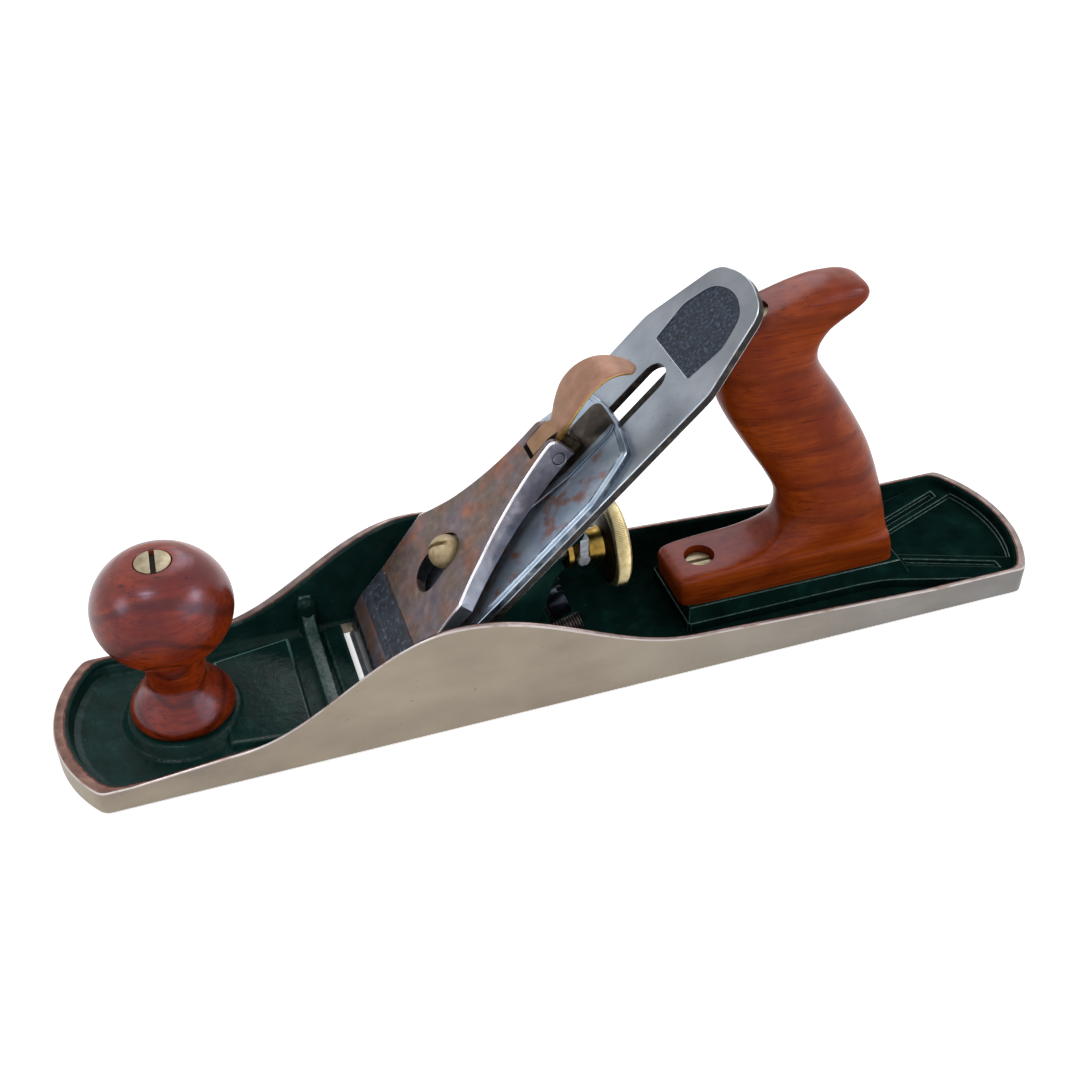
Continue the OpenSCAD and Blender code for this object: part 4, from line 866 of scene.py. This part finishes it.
# Screws: the adjusting screw is blued steel with a deep slot, glossy and nearly black, the lock screws are
# dark along the thread and rubbed bright at the slotted end.
blued_steel = finish(
    "blued_steel",
    lambda t: mix(t, blotches(t, 2.2, 0.45, 0.75), "#1C222B", "#39434F"),
    {"Metallic": 0.75, "Roughness": 0.26})
dark_thread = finish(
    "oily_dark_thread",
    lambda t: mix(t, blotches(t, 1.5, 0.5, 0.7), "#35312E", "#6E6761"),
    {"Metallic": 0.7, "Roughness": 0.45},
    [(lambda t: seat_axis(t, 1.0), 0.35)])
rubbed_steel = finish(
    "rubbed_bright_steel",
    lambda t: mix(t, blotches(t, 1.6, 0.5, 0.72), "#C2C2C4", "#6B625B"),
    {"Metallic": 0.95, "Roughness": 0.3})
SEAT_ALONG = Vector((math.cos(SEAT_ANGLE), 0, math.sin(SEAT_ANGLE)))
lock_screws = from_cad("lock_screws_dressed", "frog_lock_screws", "casting", 0.25, [dark_thread, rubbed_steel],
                       lambda point, normal: 1 if normal.dot(SEAT_ALONG) > 0.9 else 0)
adjuster = from_cad("adjusting_screw_dressed", "frog_adjusting_screw", "adjusting_screw", 0.6, [blued_steel],
                    angle=50, segments=3)
SEAT_UP = Vector((-math.sin(SEAT_ANGLE), 0, math.cos(SEAT_ANGLE)))


def shorten_the_pins(solid):
    """The pins' feet stay clear of the bed's floor when the frog has slid all the way down its seat."""
    for vert in solid.verts:
        if vert.co.z < 8 * MM:
            vert.co += 0.7 * MM * SEAT_UP


for name, node, reshape in (("frog_pins_dressed", "frog_pins", shorten_the_pins), ("clip_dressed", "frog_clip", None),
                            ("clip_screw_dressed", "frog_clip_screw", None)):
    from_cad(name, node, frame["nodes"][node]["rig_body"], 0.3, [dark_thread], reshape=reshape)


# Depth adjustment: a brass nut, knurled round its rim, runs on a steel stud screwed into the frog and swings
# a forked steel yoke by its groove. The yoke's tip stands up through the bed into the cap iron.
NUT_Z = 39.5
RIM_X = 11.8
RIM_THICK = 6.0
RIM_R = 15.9
GROOVE_X = 3.0
GROOVE_HALF = 2.5
TEETH = 168
# x and radius from the toe-side collar to the knurled rim and its dished back; True where the knurl is cut
NUT_PROFILE = (
    (-2.5, 3.2, 0), (-2.5, 5.9, 0), (-1.9, 6.45, 0), (-0.2, 6.45, 0), (0.5, 5.9, 0), (0.5, 4.3, 0), (5.5, 4.3, 0),
    (5.5, 5.7, 0), (5.9, 6.0, 0), (9.6, 6.0, 0), (10.9, 6.5, 0), (RIM_X, 8.4, 0), (RIM_X, 14.4, 0),
    (RIM_X + 0.35, 15.1, 0), (RIM_X + 0.9, 15.6, 0.4), (RIM_X + 1.3, RIM_R, 1), (RIM_X + RIM_THICK - 1.3, RIM_R, 1),
    (RIM_X + RIM_THICK - 0.9, 15.6, 0.4), (RIM_X + RIM_THICK - 0.35, 15.1, 0), (RIM_X + RIM_THICK, 14.3, 0),
    (RIM_X + RIM_THICK, 13.4, 0), (RIM_X + RIM_THICK - 1.3, 12.6, 0), (RIM_X + RIM_THICK - 1.4, 3.2, 0))
around = TEETH * 4
verts = []
for i in range(around):
    a = 2 * math.pi * i / around
    tooth = (0.0, -0.06, -0.22, -0.06)[i % 4]
    verts += [(x, (r + tooth * knurl) * math.sin(a), NUT_Z + (r + tooth * knurl) * math.cos(a))
              for x, r, knurl in NUT_PROFILE]
n = len(NUT_PROFILE)
faces = [(i * n + k, (i + 1) % around * n + k, (i + 1) % around * n + (k + 1) % n, i * n + (k + 1) % n)
         for i in range(around) for k in range(n)]
# Satin brass: pale gold on the knurl, a darker turned gold on the collar, hub and back, and the rim's flat front face
# painted near black, a painted dark reflection.
knurled_brass = finish(
    "knurled_satin_brass",
    lambda t: mix(t, blotches(t, 2.6, 0.45, 0.75), "#C8B88E", "#A5945F"),
    {"Metallic": 1.0, "Roughness": 0.34})
turned_brass = finish(
    "turned_brass",
    lambda t: mix(t, blotches(t, 3.0, 0.4, 0.7), "#A88A44", "#6A5122"),
    {"Metallic": 1.0, "Roughness": 0.28})
brass_painted_dark_reflection = finish(
    "brass_painted_dark_reflection",
    lambda t: mix(t, blotches(t, 5.0, 0.4, 0.7), "#1C140A", "#4A3714"),
    {"Metallic": 0.8, "Roughness": 0.4})
nut = new_piece("knurled_depth_nut", verts, faces, "depth_nut")
for material in (turned_brass, knurled_brass, brass_painted_dark_reflection):
    nut.data.materials.append(material)
for face in nut.data.polygons:
    k = face.index % n
    face.material_index = 1 if 12 <= k <= 20 else (2 if k in (10, 11) else 0)
nut.data.set_sharp_from_angle(angle=math.radians(38))
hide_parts("depth_nut")
# The yoke is a small grey steel casting, rough from the sand, with its pin and the stud left bright.
cast_steel = finish(
    "cast_grey_steel",
    lambda t: mix(t, blotches(t, 2.4, 0.42, 0.7), "#A3A7AD", "#75777A"),
    {"Metallic": 0.85, "Roughness": 0.36},
    [(lambda t: rock(t, 0.8, 3).outputs[0], 0.06)])
for name, node, width, surface, slot in (
        ("yoke_dressed", "yoke", 0.5, cast_steel, "yoke_steel"),
        ("yoke_pin_dressed", "yoke_pin", 0.3, rubbed_steel, "screw_steel"),
        ("depth_stud_dressed", "depth_stud", 0.5, plain_steel, "stud_steel")):
    from_cad(name, node, frame["nodes"][node]["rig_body"], width, [surface])


# Lateral lever: a stamped steel strip riveted under the iron, with a bent thumb tab behind
# and a roller in the iron's slot. Years of thumbs have left it dull and brown.
stamped_steel = finish(
    "browned_stamped_steel",
    lambda t: mix(t, blotches(t, 3.2, 0.42, 0.68), "#5E5A56", "#33291F"),
    {"Metallic": 0.8, "Roughness": 0.4})
lever = from_cad("lateral_lever_dressed", "lateral_lever", frame["nodes"]["lateral_lever"]["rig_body"], 0.35,
                 [stamped_steel, rubbed_steel], lambda point, normal: 0, arris=0)
for name, node in (("lateral_roller_dressed", "lateral_roller"), ("lateral_rivet_dressed", "lateral_rivet")):
    from_cad(name, node, frame["nodes"][node]["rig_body"], 0.25, [stamped_steel])


# Cutting iron: a ground tool steel blade with a long slot, and at its top a sunk panel left rough and bare.
# The eye gets cool blue grey low down, turning darker grey towards the top as a painted reflection, brushed along the
# blade, cloudy with handling, and dark rusted edges.
IRON_THICK = 3.0
IRON_TOP = 185.8


def brushed(tree, across_mm):
    """Fine scratches that run up the bed."""
    return rock(tree, across_mm, 3, (1, 1, 0.04), BED_ANGLE).outputs[0]


ground_blade = finish(
    "ground_blade_steel",
    lambda t: mix(t, blotches(t, 1.2, 0.64, 0.76, 4),
                  mix(t, along(t, "Z", 72, 122),
                      ramp(t, rock(t, 14, 4).outputs[0],
                           [(0.3, "#A0ACBA"), (0.48, "#AEB9C5"), (0.62, "#BAC4CF"), (0.78, "#C6CED7")]).outputs[0],
                      ramp(t, rock(t, 14, 4).outputs[0],
                           [(0.3, "#72767D"), (0.5, "#80848B"), (0.75, "#8F9298")]).outputs[0]),
                  "#70767D"),
    {"Metallic": 0.9, "Roughness": 0.36},
    [(lambda t: brushed(t, 0.5), 0.012)])
rusted_edge = finish(
    "rusted_blade_edge",
    lambda t: ramp(t, rock(t, 3, 5).outputs[0], [(0.3, "#0F0D0C"), (0.5, "#1F1A17"), (0.72, "#473F38")]).outputs[0],
    {"Metallic": 0.6, "Roughness": 0.5})
pale_arris = finish(
    "pale_steel_arris",
    lambda t: mix(t, blotches(t, 4, 0.5, 0.75), "#B2BAC3", "#82807E"),
    {"Metallic": 0.95, "Roughness": 0.3})
rough_panel = finish(
    "rough_sunk_panel",
    lambda t: mix(t, blotches(t, 1.1, 0.5, 0.72, 3),
                  ramp(t, rock(t, 3, 5).outputs[0], [(0.35, "#121924"), (0.65, "#212C3A")]).outputs[0], "#4A5A6D"),
    {"Metallic": 0.2, "Roughness": 0.5, "Specular IOR Level": 0.3},
    [(lambda t: rock(t, 1.2, 3).outputs[0], 0.3)])


def shave(solid, spot, facing):
    """Cuts away what lies beyond a flat through a place, in millimetres."""
    made = bmesh.ops.bisect_plane(solid, geom=solid.verts[:] + solid.edges[:] + solid.faces[:],
                                  plane_co=spot * MM, plane_no=facing, clear_outer=True)
    bmesh.ops.holes_fill(solid, edges=[edge for edge in made["geom_cut"] if isinstance(edge, bmesh.types.BMEdge)])


def ease_the_corners(solid):
    """Takes the two corners beside the blade's tip to a radius of 10 mm."""
    for side in (1, -1):
        for step in range(9):
            a = math.radians(blend(18, 70, step / 8))
            facing = BED_ALONG * math.cos(a) + Vector((0, side * math.sin(a), 0))
            middle = BED_ORIGIN + BED_ALONG * (IRON_TOP - 11.7) + Vector((0, side * 7.9, 0))
            shave(solid, middle + facing * 10, facing)


def iron_surface(point, normal):
    spot = on_bed(point)
    if normal.dot(BED_UP) > 0.9:
        return 3 if spot.z < 2.8 and spot.x > 140 else 0
    if normal.dot(BED_UP) < -0.5:
        return 0
    return 3 if IRON_TOP - 35 < spot.x < IRON_TOP - 5 and abs(spot.y) < 15.1 and spot.z > 2 else 1


iron = from_cad("cutting_iron_dressed", "cutter_iron", frame["nodes"]["cutter_iron"]["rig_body"], 0.28,
                [ground_blade, rusted_edge, pale_arris, rough_panel], iron_surface, arris=2,
                reshape=ease_the_corners,
                rubbed=lambda point, normal: abs(point.y) > 15.2 or on_bed(point).x > IRON_TOP - 5)

# Cap iron: a polished plate with a bevelled border, and a loose deflector below it that curls the shaving.
# It is bluer than the blade and has light rust in its middle, where the lever cap's spring has trapped damp.
cap_plate = finish(
    "polished_cap_iron",
    lambda t: mix(t, blotches(t, 7, 0.49, 0.64, 8),
                  ramp(t, rock(t, 8, 5).outputs[0],
                       [(0.3, "#93A5B8"), (0.5, "#A5B5C6"), (0.66, "#B5C1CE"), (0.8, "#C6CFD8")]).outputs[0],
                  ramp(t, rock(t, 2.2, 5).outputs[0], [(0.35, "#94766E"), (0.6, "#AC8072"), (0.8, "#9C7768")]).outputs[0]),
    {"Metallic": 0.8, "Roughness": 0.34},
    [(lambda t: rock(t, 1.2, 4).outputs[0], 0.02)])
cap_edge = finish(
    "cap_iron_edge",
    lambda t: ramp(t, rock(t, 4, 4).outputs[0], [(0.3, "#2A2F36"), (0.5, "#4E5762"), (0.75, "#8B939C")]).outputs[0],
    {"Metallic": 0.85, "Roughness": 0.36})
border_steel = finish(
    "cap_iron_border",
    lambda t: ramp(t, rock(t, 6, 4).outputs[0], [(0.3, "#8494A6"), (0.55, "#9CABBA"), (0.8, "#B4BFCA")]).outputs[0],
    {"Metallic": 0.9, "Roughness": 0.3})
# The deflector is painted dark, a painted shade and dark reflection.
deflector_painted_shade = finish(
    "deflector_steel_painted_shade",
    lambda t: ramp(t, rock(t, 3, 5).outputs[0], [(0.3, "#1B2026"), (0.55, "#39424D"), (0.8, "#5E6974")]).outputs[0],
    {"Metallic": 0.8, "Roughness": 0.35})
CAP_IRON_TOP = 125.7


def mill_the_border(solid):
    """Sinks a sloped border 2 mm wide round the top of the plate, with a small step inside it."""
    def spots(faces, beside):
        return {tuple(v.co) for f in faces for v in f.verts
                if (abs(v.co.y) > 8 * MM or on_bed(v.co / MM).x > CAP_IRON_TOP - 5) and beside(v)}

    solid.normal_update()
    top = [f for f in solid.faces if f.normal.dot(BED_UP) > 0.9 and on_bed(f.calc_center_median() / MM).z > 5.9]
    drops = {}
    for width, drop in ((1.7, 0.55), (0.3, 0.25)):
        for spot in spots(top, lambda v: any(f not in top for f in v.link_faces)):
            drops[spot] = drop
        bmesh.ops.inset_region(solid, faces=top, thickness=width * MM, use_even_offset=True, use_boundary=True)
    for vert in solid.verts:
        vert.co -= BED_UP * drops.get(tuple(vert.co), 0) * MM


def cap_iron_surface(point, normal):
    up = normal.dot(BED_UP)
    if up > 0.994 or up < -0.9:
        return 0
    return 3 if up > 0.95 else 1


cap_iron = from_cad("cap_iron_dressed", "cap_iron", frame["nodes"]["cap_iron"]["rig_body"], 0.3,
                    [cap_plate, cap_edge, pale_arris, border_steel], cap_iron_surface, arris=3, angle=55,
                    reshape=mill_the_border, rubbed=lambda point, normal: abs(point.y) > 8)
cap_iron.data.set_sharp_from_angle(angle=math.radians(8))
deflector = from_cad("deflector_dressed", "cap_iron_deflector", frame["nodes"]["cap_iron_deflector"]["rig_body"], 0.2,
                     [deflector_painted_shade, pale_arris], arris=1)
from_cad("cap_iron_screw_dressed", "cap_iron_screw", frame["nodes"]["cap_iron_screw"]["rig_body"], 0.3,
                 [plain_steel])


# Lever cap: cast iron, once plated, now worn to a mottled brown with rusty orange patches and violet greys.
# Its sides were ground and polished, its arrises rub bright, and the panel across the nose is left rough.
CAP_UNDER = 10.0


def lever_cap_surface(point, normal):
    spot = on_bed(point)
    if 16.6 < spot.x < 30.4 and abs(spot.y) < 21.7 and spot.z < CAP_UNDER + (2.1 if normal.dot(BED_UP) > 0.8 else 2.6):
        return 3 if normal.dot(BED_UP) > 0 else 0
    if abs(normal.y) > 0.35 and spot.z < CAP_UNDER + 10 and abs(spot.y) > 5.2 and (abs(spot.y) > 7 or spot.x > 80):
        return 1
    if 40 < spot.x < 64 and abs(spot.y) < 7 and normal.dot(BED_UP) < 0.6:
        return 4
    return 0


def rubbed_by_hands(point, normal):
    spot = on_bed(point)
    at_pin = spot.x > 99 and spot.z < CAP_UNDER + 7
    outside = abs(spot.y) > 24.2 or spot.x > 33 and abs(spot.y) > 9 or spot.x > 84 and abs(spot.y) > 6.2
    return outside and normal.dot(BED_UP) > 0.2 and not at_pin


worn_cap = finish(
    "worn_lever_cap_iron",
    lambda t: mix(t, blotches(t, 9, 0.5, 0.74, 6),
                  mix(t, blotches(t, 12, 0.44, 0.62, 5),
                      ramp(t, rock(t, 3, 5).outputs[0], [(0.3, "#5C4F4A"), (0.55, "#6F5E55"), (0.75, "#827366")]).outputs[0],
                      ramp(t, rock(t, 4, 5).outputs[0], [(0.35, "#60565D"), (0.65, "#7A7075")]).outputs[0]),
                  ramp(t, rock(t, 3, 4).outputs[0], [(0.35, "#7E4E3C"), (0.6, "#965E44"), (0.8, "#A56E4A")]).outputs[0]),
    {"Metallic": 0.55, "Roughness": 0.42},
    [(lambda t: rock(t, 1.5, 4).outputs[0], 0.04)])
# The polished sides run from light blue grey low down to darker grey higher up, a painted reflection.
polished_side = finish(
    "polished_cap_side",
    lambda t: mix(t, along(t, "Z", 18, 62),
                  ramp(t, rock(t, 4, 4).outputs[0], [(0.3, "#93A0B2"), (0.55, "#B2BECE"), (0.8, "#CAD3DE")]).outputs[0],
                  ramp(t, rock(t, 5, 4).outputs[0], [(0.3, "#5E5D66"), (0.55, "#7A7983"), (0.8, "#9998A2")]).outputs[0]),
    {"Metallic": 0.85, "Roughness": 0.3})
bright_edge = finish(
    "rubbed_cap_arris",
    lambda t: mix(t, blotches(t, 6, 0.5, 0.75), "#F0EEF4", "#C6BFC4"),
    {"Metallic": 0.8, "Roughness": 0.26})
slate_panel = finish(
    "rough_nose_panel",
    lambda t: mix(t, blotches(t, 1.6, 0.56, 0.66, 4),
                  ramp(t, rock(t, 4, 5).outputs[0], [(0.35, "#262B35"), (0.65, "#3A414D")]).outputs[0], "#5A6371"),
    {"Metallic": 0.4, "Roughness": 0.5},
    [(lambda t: rock(t, 1.4, 4).outputs[0], 0.12)])
# The keyhole's inner walls are painted near black.
dark_hole = finish(
    "near_black_keyhole_iron",
    lambda t: mix(t, blotches(t, 3, 0.45, 0.7), "#15181B", "#2C2F33"),
    {"Metallic": 0.5, "Roughness": 0.55})
cap = from_cad("lever_cap_dressed", "lever_cap", frame["nodes"]["lever_cap"]["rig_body"], 0.6,
               [worn_cap, polished_side, bright_edge, slate_panel, dark_hole], lever_cap_surface, arris=2, angle=32,
               rubbed=rubbed_by_hands)

# Lever cap spring and its rivet: a leaf of spring steel under the cap, which the cam presses down.
leaf_steel = finish(
    "browned_spring_leaf",
    lambda t: mix(t, along(t, "Y", -6.4, -5.8),
                  ramp(t, rock(t, 5, 5).outputs[0], [(0.3, "#7C8A9A"), (0.55, "#93A1B0"), (0.8, "#ABB5C0")]).outputs[0],
                  ramp(t, rock(t, 4, 5).outputs[0], [(0.3, "#2C2723"), (0.55, "#443C36"), (0.8, "#625950")]).outputs[0]),
    {"Metallic": 0.8, "Roughness": 0.36})
leaf_edge = finish(
    "dark_spring_edge",
    lambda t: mix(t, blotches(t, 3, 0.45, 0.75), "#1E1B1A", "#4E4A48"),
    {"Metallic": 0.7, "Roughness": 0.45})
spring = from_cad("cap_spring_dressed", "lever_cap_spring", frame["nodes"]["lever_cap_spring"]["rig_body"], 0.2,
                  [leaf_steel, leaf_edge], arris=1)
from_cad("spring_rivet_dressed", "spring_rivet", frame["nodes"]["spring_rivet"]["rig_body"], 0.2,
                 [worn_cap])

# Lever cap screw: a domed and slotted head that has gone the dull yellow of old brass.
domed_brass = finish(
    "dulled_domed_brass",
    lambda t: mix(t, blotches(t, 2.4, 0.4, 0.75), "#B29E7B", "#8F7C5A"),
    {"Metallic": 0.35, "Roughness": 0.46})
cap_screw = from_cad("lever_cap_screw_dressed", "lever_cap_screw", frame["nodes"]["lever_cap_screw"]["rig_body"], 0.25,
                     [domed_brass], angle=40)

# Cam lever and its pin: a bronze thumb piece, pressed over to lock the cap, pinkish where thumbs keep it clean.
thumb_bronze = finish(
    "thumbed_bronze",
    lambda t: mix(t, along(t, "Z", 82, 104),
                  ramp(t, rock(t, 5, 4).outputs[0], [(0.3, "#7F6142"), (0.55, "#91704F"), (0.8, "#A0805B")]).outputs[0],
                  ramp(t, rock(t, 5, 4).outputs[0], [(0.3, "#8C6650"), (0.55, "#9C7460"), (0.8, "#A98571")]).outputs[0]),
    {"Metallic": 0.6, "Roughness": 0.5})
gilt_edge = finish(
    "golden_bronze_arris",
    lambda t: mix(t, blotches(t, 3, 0.5, 0.75), "#B8924A", "#7E6132"),
    {"Metallic": 0.95, "Roughness": 0.3})
# The underside of the thumb piece and the sides and underside of the cam's hub are painted dark, a painted shade.
bronze_painted_shade = finish(
    "bronze_underside_painted_shade",
    lambda t: mix(t, blotches(t, 2, 0.45, 0.7), "#2E271C", "#4A3E2A"),
    {"Metallic": 0.8, "Roughness": 0.38})
CAM_ALONG = 105.0
CAM_ABOVE = 13.3
# upper and lower points of the thumb piece along and above the bed from its pin, and its half width
THUMB_ROWS = (
    (1, 5.6, 2.5, 0.5, 3.8), (6.2, 6.0, 6.6, 1.5, 4.2), (11.6, 8.0, 11.8, 5.2, 7.0), (17.6, 9.9, 17.6, 7.8, 8.6),
    (24, 10.3, 23.8, 8.5, 8.4), (29.8, 8.8, 29, 7.1, 7.3), (33.8, 5.4, 32.6, 4.2, 6.2), (36.3, 1.2, 35, 0.5, 5.0),
    (37.4, -1.0, 36, -1.4, 2.9), (37.7, -1.9, 36.8, -2.1, 0.4))


def through(rows, t):
    """The values on a smooth curve through rows of values, t running from 0 to 1."""
    place = min(t, 0.99999) * (len(rows) - 1)
    i = int(place)
    t = place - i
    four = [rows[max(0, min(len(rows) - 1, i + k))] for k in (-1, 0, 1, 2)]
    return [(2 * q + (r - p) * t + (2 * p - 5 * q + 4 * r - s) * t * t + (3 * q - p - 3 * r + s) * t ** 3) / 2
            for p, q, r, s in zip(*four)]


verts = []
THUMB_RING = 40
THUMB_STEPS = 60
for k in range(THUMB_STEPS + 1):
    along_top, above_top, along_low, above_low, half = through(THUMB_ROWS, k / THUMB_STEPS)
    for j in range(THUMB_RING):
        a = 2 * math.pi * j / THUMB_RING
        t = (1 - squircle(math.sin(a), 3.5)) / 2
        verts.append(BED_ORIGIN + BED_ALONG * (CAM_ALONG + blend(along_top, along_low, t))
                     + BED_UP * (CAM_ABOVE + blend(above_top, above_low, t))
                     + Vector((0, half * squircle(math.cos(a), 3.5), 0)))
faces = [tuple(range(THUMB_RING))[::-1], tuple(range(len(verts) - THUMB_RING, len(verts)))]
faces += [(k * THUMB_RING + j, k * THUMB_RING + (j + 1) % THUMB_RING,
           (k + 1) * THUMB_RING + (j + 1) % THUMB_RING, (k + 1) * THUMB_RING + j)
          for k in range(THUMB_STEPS) for j in range(THUMB_RING)]
thumb = new_piece("cam_thumb_piece", verts, faces, frame["nodes"]["cam_lever"]["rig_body"])
for material in (thumb_bronze, bronze_painted_shade, gilt_edge):
    thumb.data.materials.append(material)
for face in thumb.data.polygons[2:]:
    a = 2 * math.pi * ((face.index - 2) % THUMB_RING + 0.5) / THUMB_RING
    if math.sin(a) < -0.3:
        face.material_index = 1
    elif math.sin(a) < 0.1:
        face.material_index = 2
thumb.data.set_sharp_from_angle(angle=math.radians(60))


def take_off_the_thumb(solid):
    """Leaves only the cam's hub, on which the thumb piece above is put."""
    shave(solid, BED_ORIGIN + BED_ALONG * (CAM_ALONG + 7.6), BED_ALONG)


cam = from_cad("cam_hub_dressed", "cam_lever", frame["nodes"]["cam_lever"]["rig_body"], 0.35,
               [thumb_bronze, bronze_painted_shade], lambda point, normal: 0 if normal.dot(BED_UP) > 0.3 else 1, angle=34,
               reshape=take_off_the_thumb)
for piece in (thumb, cam):
    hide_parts("cam_lever")
from_cad("cam_pin_dressed", "cam_lever_pin", frame["nodes"]["cam_lever_pin"]["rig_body"], 0.2,
                 [polished_side])
